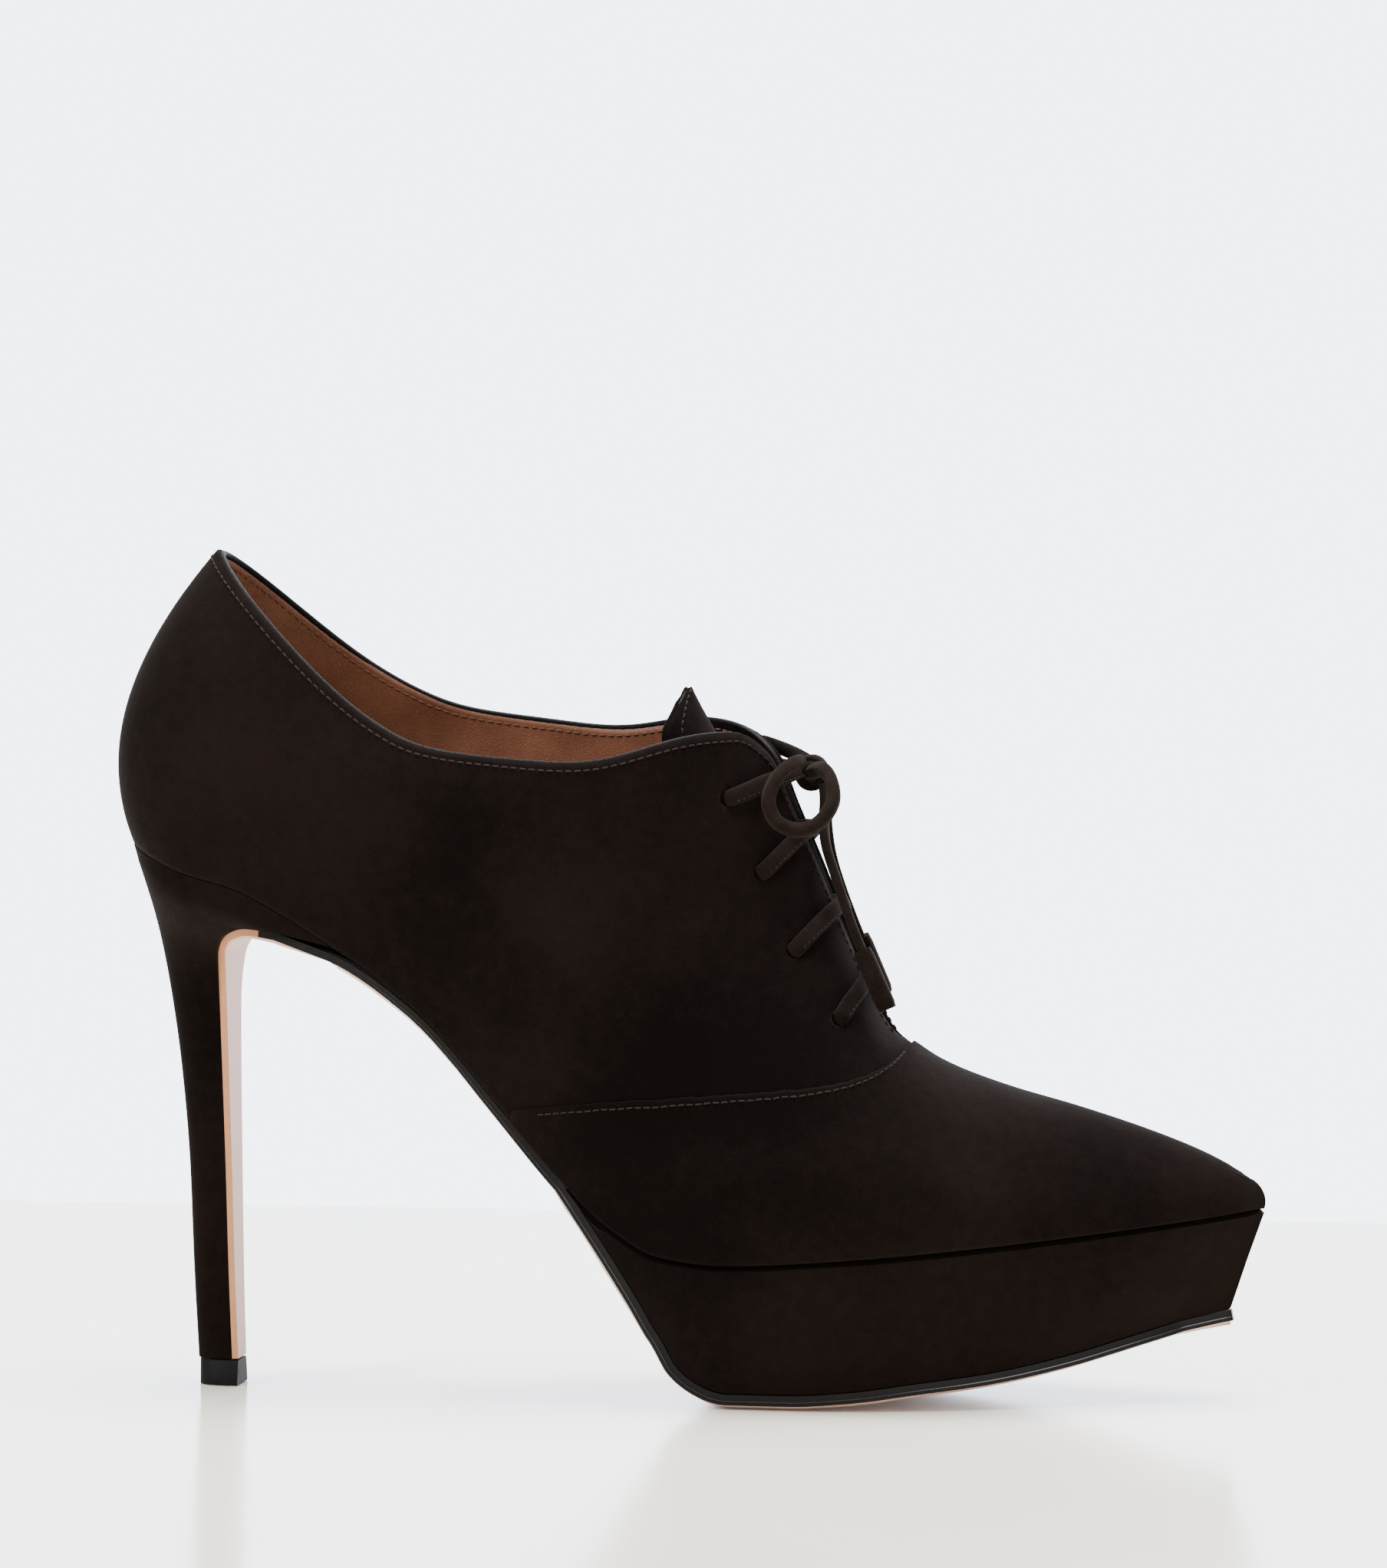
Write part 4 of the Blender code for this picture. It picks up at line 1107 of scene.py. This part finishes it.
def throat(height):
    """Middle of the throat between the facings' edges at a height."""
    share, span = 0.1, 0.2
    for _ in range(30):
        ends = [rib(share, side)[3] for side in (0, 1)]
        share += math.copysign(span, ends[0].z - height)
        span *= 0.6
        share = min(max(share, RIBS[8][0]), RIBS[14][0])
    return (ends[0] + ends[1]) / 2


def on_leather(start, goal, part, side, lift):
    """A point over the leather, part of the way from start to goal, and its normal."""
    spot, out = surface_at(start.x + (goal.x - start.x) * part, start.z + (goal.z - start.z) * part, side)
    return spot + out * lift, out


def out_of_hole(row, side, centre):
    """Points from inside the shoe through a hole and over the facing's edge."""
    point, normal = HOLES[side][row]
    towards = (centre - point).normalized()
    points = [(point - normal * HOLE_DEPTH - towards * 0.0012, normal), (point - normal * 0.0010, normal),
              (point + normal * 0.0009 + towards * 0.0010, normal)]
    return points + [on_leather(point, centre, part, side, lift)
                     for part, lift in ((0.38, 0.0012), (0.70, 0.0013), (0.92, 0.0013))]


def under_facing(row, side, centre):
    """Points under the opposite facing, up to the inside of its hole."""
    point = HOLES[side][row][0]
    return [on_leather(point, centre, part, side, -UPPER_WALL - UNDER_DEPTH) for part in (0.85, 0.45)]


def smooth_pairs(pairs):
    points, normals = (smooth_path(values, CROSS_PIECES) for values in zip(*pairs))
    return [(p, n.normalized()) for p, n in zip(points, normals)]


# %% [markdown]
# Now both strips are swept, one started on each side at the lowest hole, with fine stitches along
# one edge like the real folded strip.

# %% Both strips of lace
def lace_stitches(name, path, width, thickness, edge):
    """Fine stitches along one edge of a strip, on its outer face."""
    row = []
    for k in range(1, len(path) - 1):
        point, normal = path[k]
        ahead = (path[k + 1][0] - path[k - 1][0]).normalized()
        across = ahead.cross(normal).normalized()
        row.append((point + across * (width * 0.30 * edge) + normal * thickness * 0.42, normal))
    return stitch_row(name, row, THREAD, pitch=0.0014, thread=0.00013)


for first in (0, 1):
    side = first
    pairs = []
    for row in range(3, 0, -1):
        height = (HOLES[side][row][0].z + HOLES[1 - side][row - 1][0].z) / 2
        centre = throat(height + 0.0005)
        lift = 0.0010 if side == 0 else -0.0006
        pairs += out_of_hole(row, side, centre)
        pairs.append((centre + AHEAD * lift, AHEAD))
        pairs += under_facing(row - 1, 1 - side, centre)
        side = 1 - side
    point, normal = HOLES[side][0]
    pairs += [(point - normal * 0.0032, normal), (point - normal * 0.0020, normal)]
    path = smooth_pairs(pairs)
    item = sweep(f"lace_crossing_{first}", path, CROSS_WIDTH, CROSS_THICK, SUEDE_LACE)
    ride(item)
    lace_stitches(f"lace_crossing_stitches_{first}", path, CROSS_WIDTH, CROSS_THICK, 1)
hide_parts("laces")

# %% [markdown]
# From each top hole a last piece runs over the facing's edge and up to the knot. It narrows at both
# ends, where it is pulled through the hole and into the knot.

# %% From the top holes to the knot
TOP_WIDTH = 0.0038
TOP_THICK = 0.0015
TOP_EDGE_WIDTH = 0.0036
EDGE_RISE = Vector((0, 0, 0.0012))

for side in (0, 1):
    point, normal = HOLES[side][0]
    goal = KNOT + Vector((-0.0016, (-0.0016, 0.0018)[side], 0.0004))
    edge = throat(point.z + 0.003)
    towards = (edge - point).normalized()
    pairs = [(point - normal * HOLE_DEPTH - towards * 0.0010, normal), (point - normal * 0.0008, normal),
             (point + normal * 0.0009 + towards * 0.0012, normal)]
    pairs += [on_leather(point, edge + EDGE_RISE, part, side, 0.0013) for part in (0.34, 0.62)]
    last, out = pairs[-1]
    pairs.append((last.lerp(goal, 0.5) + AHEAD * 0.0006, (out + AHEAD).normalized()))
    pairs.append((goal, AHEAD))
    path = smooth_pairs(pairs)
    item = sweep(f"lace_top_{side}", path, TOP_WIDTH, TOP_THICK, SUEDE_LACE,
                 sizes=lambda t: 0.72 + 0.28 * math.sin(math.pi * min(1, max(0, t * 1.15 - 0.1))))
    ride(item)
    lace_stitches(f"lace_top_stitches_{side}", path, TOP_EDGE_WIDTH, TOP_THICK, -SIGNS[side])

# %% [markdown]
# The tongue is a pointed leaf of suede bent round the instep, lined with a second leaf. It gets its
# own edge binding and a row of stitches inside it, like the collar.

# %% The tongue's shape
TONGUE = [
    # along, height by instep height over the platform, radius by ball width, half angle
    (-0.113, 1.176, 0.16, 4.0),
    (-0.098, 1.135, 0.18, 34.0),
    (-0.075, 1.080, 0.19, 62.0),
    (-0.035, 1.005, 0.19, 76.0),
    (0.020, 0.940, 0.19, 72.0),
    (0.061, 0.858, 0.19, 66.0),
    (0.099, 0.758, 0.19, 60.0),
    (0.135, 0.660, 0.19, 54.0),
    (0.174, 0.560, 0.18, 48.0),
    (0.203, 0.478, 0.15, 40.0),
]
TONGUE_SIDE = 0.010
TONGUE_WALL = 0.0016
TONGUE_ROWS = 60
TONGUE_SPANS = 30
TONGUE_CURL = 0.0017
CURL_START = 0.08
TONGUE_BINDING = (0.0010, 0.0012)
TONGUE_BINDING_DEPTH = 0.0011
VISIBLE_PART = 0.62
PATH_ROWS = 26


def tongue_point(row, span):
    """A point of the tongue: row runs from its tip down, span from -1 to 1 across it."""
    index = row * (len(TONGUE) - 1)
    table = [(k, *values) for k, values in enumerate(TONGUE)]
    place, height, radius, angle = (smooth(table, k, index) for k in (1, 2, 3, 4))
    turn = math.radians(angle) * span
    size = radius * BALL_WIDTH
    x = along(place) - size * (1 - math.cos(turn)) - TONGUE_CURL * min(1.0, row / CURL_START) * span ** 2
    y = TONGUE_SIDE * BALL_WIDTH + size * math.sin(turn)
    return Vector((x, y, PLATFORM_HEIGHT + height * INSTEP_HEIGHT))


# %% [markdown]
# Both leaves are the same grid. The lining's leaf lies a little behind the suede one, and the
# binding runs round the edge as far as the opening shows it.

# %% Tongue
def make_tongue():
    mesh = bmesh.new()
    grid = [[mesh.verts.new(tongue_point(i / TONGUE_ROWS, 2 * k / TONGUE_SPANS - 1))
             for k in range(TONGUE_SPANS + 1)] for i in range(TONGUE_ROWS + 1)]
    for upper_row, lower_row in zip(grid, grid[1:]):
        for k in range(TONGUE_SPANS):
            mesh.faces.new([upper_row[k], lower_row[k], lower_row[k + 1], upper_row[k + 1]])
    return object_from("tongue_suede", mesh, SUEDE)


def tongue_path(inset):
    """Round the tongue's tip at a share of its half width from the edge."""
    path = []
    for side in (-1, 1):
        span = side * (1 - inset)
        line = []
        for k in range(PATH_ROWS + 1):
            row = VISIBLE_PART * k / PATH_ROWS
            here = tongue_point(row, span)
            ahead = tongue_point(min(row + 0.01, 1.0), span) - tongue_point(max(row - 0.01, 0.0), span)
            across = tongue_point(row, span + 0.02) - tongue_point(row, span - 0.02)
            line.append((here, ahead.cross(across).normalized()))
        path += line[::-1] if side == -1 else line[1:]
    return path


tongue = make_tongue()
wall(tongue, TONGUE_WALL * 0.6)
ride(tongue)
tongue_lining = make_tongue()
tongue_lining.name = "tongue_lining"
for vert in tongue_lining.data.vertices:
    vert.co.x -= TONGUE_WALL * 0.62
wall(tongue_lining, TONGUE_WALL * 0.36)
ride(tongue_lining)
edge = [(p - n * TONGUE_BINDING_DEPTH, n) for p, n in eased(tongue_path(0.0), 2)]
ride(sweep("tongue_binding", edge, *TONGUE_BINDING, PIPING, sides=10))
stitch_row("tongue_stitches", tongue_path(0.2)[8:-8], THREAD)
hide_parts("tongue")

# %% [markdown]
# Below the seam lie the platform, the heel and the sole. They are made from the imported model's own
# tables, with many more points round each outline, so their silhouettes are smooth even close up.
# First come their sizes and the sole's line from the side.

# %% Sizes below the upper
SOLE_TO_TOE = 0.0978
GAP = 0.0003
SOLE_THICKNESS = 0.0020
SHANK_THICKNESS = 0.0014
BREAST_THICKNESS = 0.0011
SOLE_CROWN = 0.0009
SOLE_SPRING = 0.0158
SOLE_ROUNDING = 0.0030
PLATFORM_TAPER = 0.0048
HEEL_WING = -0.640
WEDGE_END = -0.276
SEAT_WIDTH = WIDTHS["seat"]
SOLE_LINE = [
    # along, height as a share of the platform height, spring
    (-0.290, 1.430, 0.00),
    (-0.235, 1.033, 0.00),
    (-0.192, 0.705, 0.00),
    (-0.146, 0.354, 0.00),
    (-0.117, 0.159, 0.00),
    (-0.087, 0.066, 0.00),
    (-0.058, 0.016, 0.00),
    (-0.036, 0.000, 0.00),
    (0.085, 0.000, 0.00),
    (0.204, 0.000, 0.04),
    (0.365, 0.000, 0.16),
    (0.522, 0.000, 0.28),
    (0.679, 0.000, 0.47),
    (0.836, 0.000, 0.73),
    (1.000, 0.000, 1.00),
]


# %% [markdown]
# An outline is a list of points as seen from above, each with its share of the shoe's length. An
# inset moves it inwards, and by less near the toe, where its sides would cross.

# %% Outlines from above
def seam_outline(inset=0.0, toe=TREAD_TO_TOE, end=None):
    """The seam from above, from the back round the little-toe side to the toe and back."""
    back, centre = along(BACK_RIB[0][0]), along(RIBS[0][0])
    shares = []
    for k in range(CUP_STEPS * 2):
        angle = math.pi / 2 * (1 - (k + 0.15) / (CUP_STEPS * 2))
        shares.append(((centre + (back - centre) * math.sin(angle)) / TREAD_TO_BACK, math.cos(angle)))
    shares += [(place, 1.0) for place in rib_places()]
    shares += [(0.96 + 0.006 * k, 1.0) for k in range(7)]
    if end is not None:
        shares = [(end, 1.0)] + [pair for pair in shares if pair[0] > end + 0.003]
    points = []
    for side in (0, 1):
        line = []
        for share, narrow in shares:
            x = share * (TREAD_TO_BACK if share < 0 else toe)
            y = SIGNS[side] * narrow * smooth(PLAN_ROWS, 1 + side, share)
            line.append((share, Vector((x, y))))
        points += line if side == 0 else line[::-1]
    return inset_outline(points, inset)


def inset_outline(points, full_inset):
    moved = []
    count = len(points)
    for k, (share, point) in enumerate(points):
        run = points[(k + 1) % count][1] - points[k - 1][1]
        inward = Vector((-run.y, run.x)).normalized()
        inset = full_inset
        if share > 0:
            inset = min(inset, 0.3 * (point - points[count - 1 - k][1]).length)
        moved.append((share, point + inward * inset))
    return moved


# %% [markdown]
# Platform, heel, sole and insole are all stacks of outlines with equal numbers of points, closed at
# both ends by strips across.

# %% Stacking outlines
def stack(rings, materials):
    """A solid between stacked outlines; band k of its side takes material k, and so do the ends."""
    mesh = bmesh.new()
    loops = [[mesh.verts.new(point) for point in ring] for ring in rings]
    count = len(loops[0])
    for band, (low, high) in enumerate(zip(loops, loops[1:])):
        for k in range(count):
            n = (k + 1) % count
            mesh.faces.new([low[k], low[n], high[n], high[k]]).material_index = materials[band + 1]
    for k in range(count // 2 - 1):
        across = [k, k + 1, count - 2 - k, count - 1 - k]
        mesh.faces.new([loops[0][i] for i in reversed(across)]).material_index = materials[0]
        mesh.faces.new([loops[-1][i] for i in across]).material_index = materials[-1]
    bmesh.ops.recalc_face_normals(mesh, faces=mesh.faces)
    return mesh


# %% [markdown]
# The heights below the seam follow from the sole's line: its edge, its thickness, and the foot of
# the platform above it. The platform's foot is narrower than the seam and draws in with its depth.

# %% Heights and the foot's outline
def slope_lift(height, place, distance):
    """Rise that sets two surfaces this far apart where a height line slopes."""
    ahead = height(place + 0.002) - height(place - 0.002)
    run = along(place + 0.002) - along(place - 0.002)
    return distance * math.hypot(1, ahead / run)


def sole_edge(share):
    rise = smooth(SOLE_LINE, 1, share) * PLATFORM_HEIGHT
    return SOLE_CROWN + rise + smooth(SOLE_LINE, 2, share) * SOLE_SPRING


def sole_thickness(share):
    return smooth([(WEDGE_END - 0.16, SHANK_THICKNESS), (WEDGE_END, SOLE_THICKNESS)], 1, share)


def platform_foot(share):
    return sole_edge(share) + slope_lift(sole_edge, share, SOLE_THICKNESS + GAP)


def foot_outline(end, inset=0.0):
    """The outline of the platform's foot and the sole."""
    points = []
    low = seam_outline(PLATFORM_TAPER, toe=SOLE_TO_TOE, end=end)
    for (share, outer), (_, inner) in zip(seam_outline(0.0, end=end), low):
        depth = (feather_height(share) - sole_edge(share)) / PLATFORM_HEIGHT
        full = smooth([(0.1, 0.0), (0.6, 0.8), (0.9, 1.0)], 1, depth) if share > WEDGE_END else 0.0
        points.append((share, outer.lerp(inner, full)))
    return inset_outline(points, inset)


# %% [markdown]
# The platform is a light core covered with the same suede, pulled tight, so its sides are slightly
# hollow and its edges are soft. It is built as five stacked outlines.

# %% Platform
FOOT_INSET = 0.0003
LIP_INSET = 0.0010
LIP_HEIGHT = 0.0009


def make_platform():
    sections = []
    outlines = (foot_outline(WEDGE_END, FOOT_INSET), foot_outline(WEDGE_END),
                seam_outline(0.0, end=WEDGE_END), seam_outline(LIP_INSET, end=WEDGE_END))
    for (share, under_foot), (_, foot), (_, outer), (_, inner) in zip(*outlines):
        under = 3 * GAP if share < WEDGE_END + 0.06 else GAP
        seam = feather_height(share) - slope_lift(feather_height, share, under)
        low = platform_foot(share)
        lip = min(LIP_HEIGHT, 0.4 * (seam - low))
        sections.append([(*under_foot, low), (*foot, low + lip * 0.3),
                         (*foot.lerp(outer, 0.5), (low + seam) / 2), (*outer, seam - lip),
                         (*inner, seam)])
    return object_from("platform_cover", stack(list(zip(*sections)), [0] * 6), SUEDE, 50)


platform = ride(make_platform())
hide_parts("platform")
print("platform", len(platform.data.polygons), "faces")

# %% [markdown]
# The heel is a slim D in section: flat at its breast, round behind. It widens into the seat under
# the heel cup. The sections' table is read on a smooth curve to get many more of them.

# %% Heel
HEEL = [
    # front along, front height, back along, back height, breast width, seat share
    (-0.822, 0.049, -0.879, 0.049, 0.165, 0.00),
    (-0.826, 0.213, -0.886, 0.213, 0.190, 0.00),
    (-0.829, 0.411, -0.892, 0.411, 0.222, 0.00),
    (-0.832, 0.580, -0.904, 0.585, 0.262, 0.00),
    (-0.834, 0.721, -0.920, 0.727, 0.318, 0.02),
    (-0.831, 0.797, -0.936, 0.835, 0.440, 0.12),
    (-0.812, 0.836, -0.947, 0.895, 0.600, 0.35),
    (-0.771, 0.851, -0.957, 0.935, 0.760, 0.60),
    (-0.716, 0.844, -0.967, 0.968, 0.880, 0.82),
]
TIP_HEIGHT = 0.0053
HEEL_SIDES = 48
HEEL_STEPS = 6
ROUNDNESS = 0.62


def heel_sections():
    """The rows of the heel's table from the tip up, with more between them."""
    rows = [(k, *row) for k, row in enumerate(HEEL)]
    places = [k / HEEL_STEPS for k in range((len(HEEL) - 1) * HEEL_STEPS + 1)]
    return [[smooth(rows, column, place) for column in range(1, 7)] for place in places]


def section_turn(k):
    """The turn round a section at its point k, and how deep that point lies behind the breast."""
    turn = math.pi * k / (HEEL_SIDES - 1)
    return turn, max(math.sin(turn), 0.0) ** ROUNDNESS


def heel_ring(front, back, low, high, half):
    """A section's points: half is its half width at the breast, low and high its front and back."""
    ring = []
    for k in range(HEEL_SIDES):
        turn, depth = section_turn(k)
        ring.append(Vector((front + (back - front) * depth, -half * math.cos(turn),
                            low + (high - low) * depth)))
    return ring


def seat_ring():
    """The outline under the heel cup that the heel widens into."""
    ring = []
    front, back, centre = along(HEEL_WING), along(BACK_RIB[0][0]), along(RIBS[0][0])
    for k in range(HEEL_SIDES):
        _, depth = section_turn(k)
        side = 0 if k < HEEL_SIDES / 2 else 1
        x = front + (back - front) * depth
        share = x / TREAD_TO_BACK
        round_off = max(0.0, (centre - x) / (centre - back))
        width = smooth(PLAN_ROWS, 1 + side, share)
        y = SIGNS[side] * width * math.sqrt(max(0.0, 1 - round_off ** 2))
        ring.append(Vector((x, y, feather_height(share) - slope_lift(feather_height, share, GAP))))
    return ring


def make_heel():
    seat = seat_ring()
    rings = []
    for index, row in enumerate(heel_sections()):
        front, back = along(row[0]), along(row[2])
        low, high = row[1] * SEAT_HEIGHT, row[3] * SEAT_HEIGHT
        if index == 0:
            low = high = TIP_HEIGHT + GAP
        ring = heel_ring(front, back, low, high, row[4] * SEAT_WIDTH / 2)
        for point, wide in zip(ring, seat):
            point.y += (wide.y - point.y) * row[5]
        rings.append(ring)
    last = rings[-1]
    for part in (0.35, 0.7):
        rings.append([a.lerp(b, part) for a, b in zip(last, seat)])
    mesh = stack(rings + [seat], [0] * (len(rings) + 2))
    return object_from("heel_cover", mesh, SUEDE, 50)


heel = ride(make_heel())
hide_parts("heel")
print("heel", len(heel.data.polygons), "faces")

# %% [markdown]
# The top piece is a small moulded tap, flared towards the floor and slightly rounded at its edge.

# %% Heel top piece
TIP_LEVELS = [
    # height, flare
    (0.0, 0.0008),
    (0.0003, 0.0011),
    (0.0011, 0.0010),
    (TIP_HEIGHT - 0.0002, 0.0),
    (TIP_HEIGHT, -0.0002),
]


def make_tip():
    row = HEEL[0]
    front = along(row[0]) + BREAST_THICKNESS + GAP
    back = along(row[2]) + GAP
    rings = [heel_ring(front, back, level, level, row[4] * SEAT_WIDTH / 2 + flare)
             for level, flare in TIP_LEVELS]
    return object_from("top_piece", stack(rings, [0] * 6), TIP_RUBBER, 50)


tip_piece = ride(make_tip())
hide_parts("heel_top_piece")

# %% [markdown]
# The outsole is one leather skin from the toe along the shank and down the heel's breast. Its edge
# is inked black under the platform and the shank, with a rounded lower border, and it turns to a
# bare tan edge down the breast.

# %% Line of the sole
JOINT_REACH = 7
JOINT_PASSES = 4


def sole_carrier(fronts, shank):
    """The line under which the sole lies, as (x, z): up the heel's breast, then along the shoe."""
    carrier = [Vector((x, z)) for x, z, _ in fronts]
    for share, point in shank[:len(shank) // 2]:
        height = platform_foot(share) if share > WEDGE_END else feather_height(share)
        height -= 2 * GAP * min(1.0, max(0.0, (HEEL_WING + 0.16 - share) / 0.12))
        carrier.append(Vector((point.x, height)))
    joint = len(fronts)
    for _ in range(JOINT_PASSES):
        for k in range(joint - 1, joint + JOINT_REACH):
            before, here, after = carrier[k - 1], carrier[k], carrier[k + 1]
            part = (here.x - before.x) / (after.x - before.x)
            here.y = here.y * 0.5 + before.lerp(after, part).y * 0.5
    return carrier


def normals_down(line):
    """Unit vectors across a line of (x, z) points, on its lower side."""
    runs = [line[min(k + 2, len(line) - 1)] - line[max(k - 2, 0)] for k in range(len(line))]
    return [Vector((run.y, -run.x)).normalized() for run in runs]


# %% [markdown]
# At each place of that line the sole has a section of five levels: its top, the middle of its edge,
# the edge's lower corner, and two more that round it off towards the tread.

# %% Outsole
BORDER_INSET = SOLE_ROUNDING * 0.3
BREAST_EDGE_END = along(HEEL_WING) - 0.016


def make_outsole():
    fronts = [(along(row[0]), row[1] * SEAT_HEIGHT, row[4] * SEAT_WIDTH / 2) for row in heel_sections()]
    joint = len(fronts)
    shank, border, inner = (foot_outline(HEEL_WING, inset)
                            for inset in (-GAP / 2, BORDER_INSET, SOLE_ROUNDING))
    carrier = sole_carrier(fronts, shank)
    rings = [[], [], [], [], []]
    for side in (0, 1):
        sections = []
        for k, (spot, normal) in enumerate(zip(carrier, normals_down(carrier))):
            early = min(k / (joint - 1), 1.0) ** 3
            if k < joint:
                thickness = BREAST_THICKNESS + (SHANK_THICKNESS - BREAST_THICKNESS) * early
                y = SIGNS[side] * fronts[k][2]
                edges = [Vector((spot.x, y * part)) for part in (1, 1, 1, 0.98, 1 - 0.1 * early)]
            else:
                thickness = sole_thickness(shank[k - joint][0])
                pick = k - joint if side == 0 else len(shank) - 1 - (k - joint)
                edges = [shank[pick][1]] * 3 + [border[pick][1], inner[pick][1]]
            low, crown = GAP + thickness, SOLE_CROWN * early
            depths = (GAP * 0.3, GAP + thickness * 0.5, low, low + crown * 0.45, low + crown)
            sections.append([Vector((edge.x + normal.x * depth, edge.y, spot.y + normal.y * depth))
                             for depth, edge in zip(depths, edges)])
        for ring, points in zip(rings, zip(*sections)):
            ring += points if side == 0 else points[::-1]
    mesh = stack(rings[::-1], [0, 0, 0, 1, 1, 1])
    for face in mesh.faces:
        if face.material_index == 1 and face.calc_center_median().x < BREAST_EDGE_END:
            face.material_index = 2
    item = object_from("outsole_leather", mesh, SOLE, 35)
    item.data.materials.append(SOLE_EDGE)
    item.data.materials.append(BREAST_EDGE)
    return item, rings, joint


outsole, sole_rings, breast_count = make_outsole()
ride(outsole)
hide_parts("outsole")
print("outsole", len(outsole.data.polygons), "faces")

# %% [markdown]
# Just above the floor side of the black edge runs a fine bead: a line pressed into the ink with a
# hot iron. It is a thread-thin tube that catches the light in a broken line.

# %% Sole bead
BEAD_SIZES = (0.00034, 0.00026)
BEAD_LEVEL = 0.62
BEAD_OUT = Vector((0, -0.00004, 0))
BEAD_FACING = Vector((0, -1, 0.2))
BEAD_PITCH = 0.0012

places = range(breast_count + 4, len(sole_rings[0]) // 2)
bead_path = [(sole_rings[0][k].lerp(sole_rings[2][k], BEAD_LEVEL) + BEAD_OUT, BEAD_FACING) for k in places]
bead = sweep("sole_bead", resample(bead_path, BEAD_PITCH), *BEAD_SIZES, SOLE_BEAD, sides=6)
ride(bead)

# %% [markdown]
# Inside lies the insole with its leather sock, in the lining's colour. Its upper edge is drawn in a
# little, so it looks soft.

# %% Insole
SOCK_LEVELS = [
    # inset in gaps, height
    (4, 0.0),
    (4, 0.0021),
    (6, 0.0025),
]


def make_insole():
    rings = []
    for gaps, lift in SOCK_LEVELS:
        outline = seam_outline(UPPER_WALL + gaps * GAP, toe=TREAD_TO_TOE - 4 * UPPER_WALL)
        rings.append([(*point, feather_height(share) + slope_lift(feather_height, share, lift))
                      for share, point in outline])
    return object_from("sock", stack(rings, [0] * 4), LINING, 50)


insole = ride(make_insole())
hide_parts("insole")
print("insole", len(insole.data.polygons), "faces")

# %% [markdown]
# The photograph is a bright catalogue picture: an almost white floor that ends in a straight line,
# and a pale, slightly bluish wall behind it. The wall gives off its own light, like an evenly lit
# one, so it stays bright without a strong light from the camera's side. The floor has a low
# glow too, and a smooth face that mirrors the wall softly.

# %% Floor and backdrop
FLOOR_BACK = 0.34
WALL_BACK = 3.2
FLOOR_GLOW = 0.05
WALL_GLOW = 6.0


def stage_grid(name, finish, place, across, up):
    """A flat grid round a place, with its half sides as vectors."""
    mesh = bmesh.new()
    bmesh.ops.create_grid(mesh, x_segments=2, y_segments=2, size=1.0)
    for vert in mesh.verts:
        vert.co = Vector(place) + Vector(across) * vert.co.x + Vector(up) * vert.co.y
    object_from(name, mesh, finish.material)


FLOOR = Finish("floor_white", Specular_IOR_Level=0.3, Emission_Strength=FLOOR_GLOW)
cloud = FLOOR.noise(6.0, 3.0, 0.6)
FLOOR.feed("Base Color", FLOOR.mix(cloud, (0.88, 0.84, 0.73), (0.93, 0.89, 0.79)))
FLOOR.feed("Roughness", 0.12 + cloud * 0.08)
FLOOR.shader.inputs["Emission Color"].default_value = (1.0, 0.985, 0.95, 1)
stage_grid("floor", FLOOR, (0, FLOOR_BACK - 1.0, -0.0001), (1.6, 0, 0), (0, 1, 0))

WALL = Finish("wall_white", Specular_IOR_Level=0.0, Emission_Strength=WALL_GLOW)
WALL.shader.inputs["Base Color"].default_value = (0.2, 0.2, 0.2, 1)
WALL.shader.inputs["Emission Color"].default_value = (0.80, 0.862, 1.0, 1)
stage_grid("wall", WALL, (0, WALL_BACK, 0), (3.2, 0, 0), (0, 0, 2))

world = bpy.data.worlds.new("studio")
world.use_nodes = True
background = world.node_tree.nodes["Background"]
background.inputs["Color"].default_value = (0.86, 0.87, 0.90, 1)
background.inputs["Strength"].default_value = 0.6
bpy.context.scene.world = world

# %% [markdown]
# One large soft lamp stands high at the camera's left, where the photograph's highlights on the
# heel cup and the vamp come from. A second hangs above, and a weak one fills the toe's side.

# %% Lights
def soft_light(name, place, target, size, power):
    light = bpy.data.lights.new(name, "AREA")
    light.shape = "RECTANGLE"
    light.size, light.size_y = size
    light.energy = power
    item = bpy.data.objects.new(name, light)
    item.location = place
    item.rotation_euler = (Vector(target) - Vector(place)).to_track_quat("-Z", "Y").to_euler()
    bpy.context.scene.collection.objects.link(item)


soft_light("key", (-1.2, -0.95, 1.2), (0, 0, 0.08), (0.7, 0.7), 40)
soft_light("top", (0.1, 0.1, 1.5), (0, 0, 0.05), (1.1, 0.8), 80)
soft_light("front", (0.9, -1.2, 0.6), (0, 0, 0.06), (0.6, 0.8), 7)
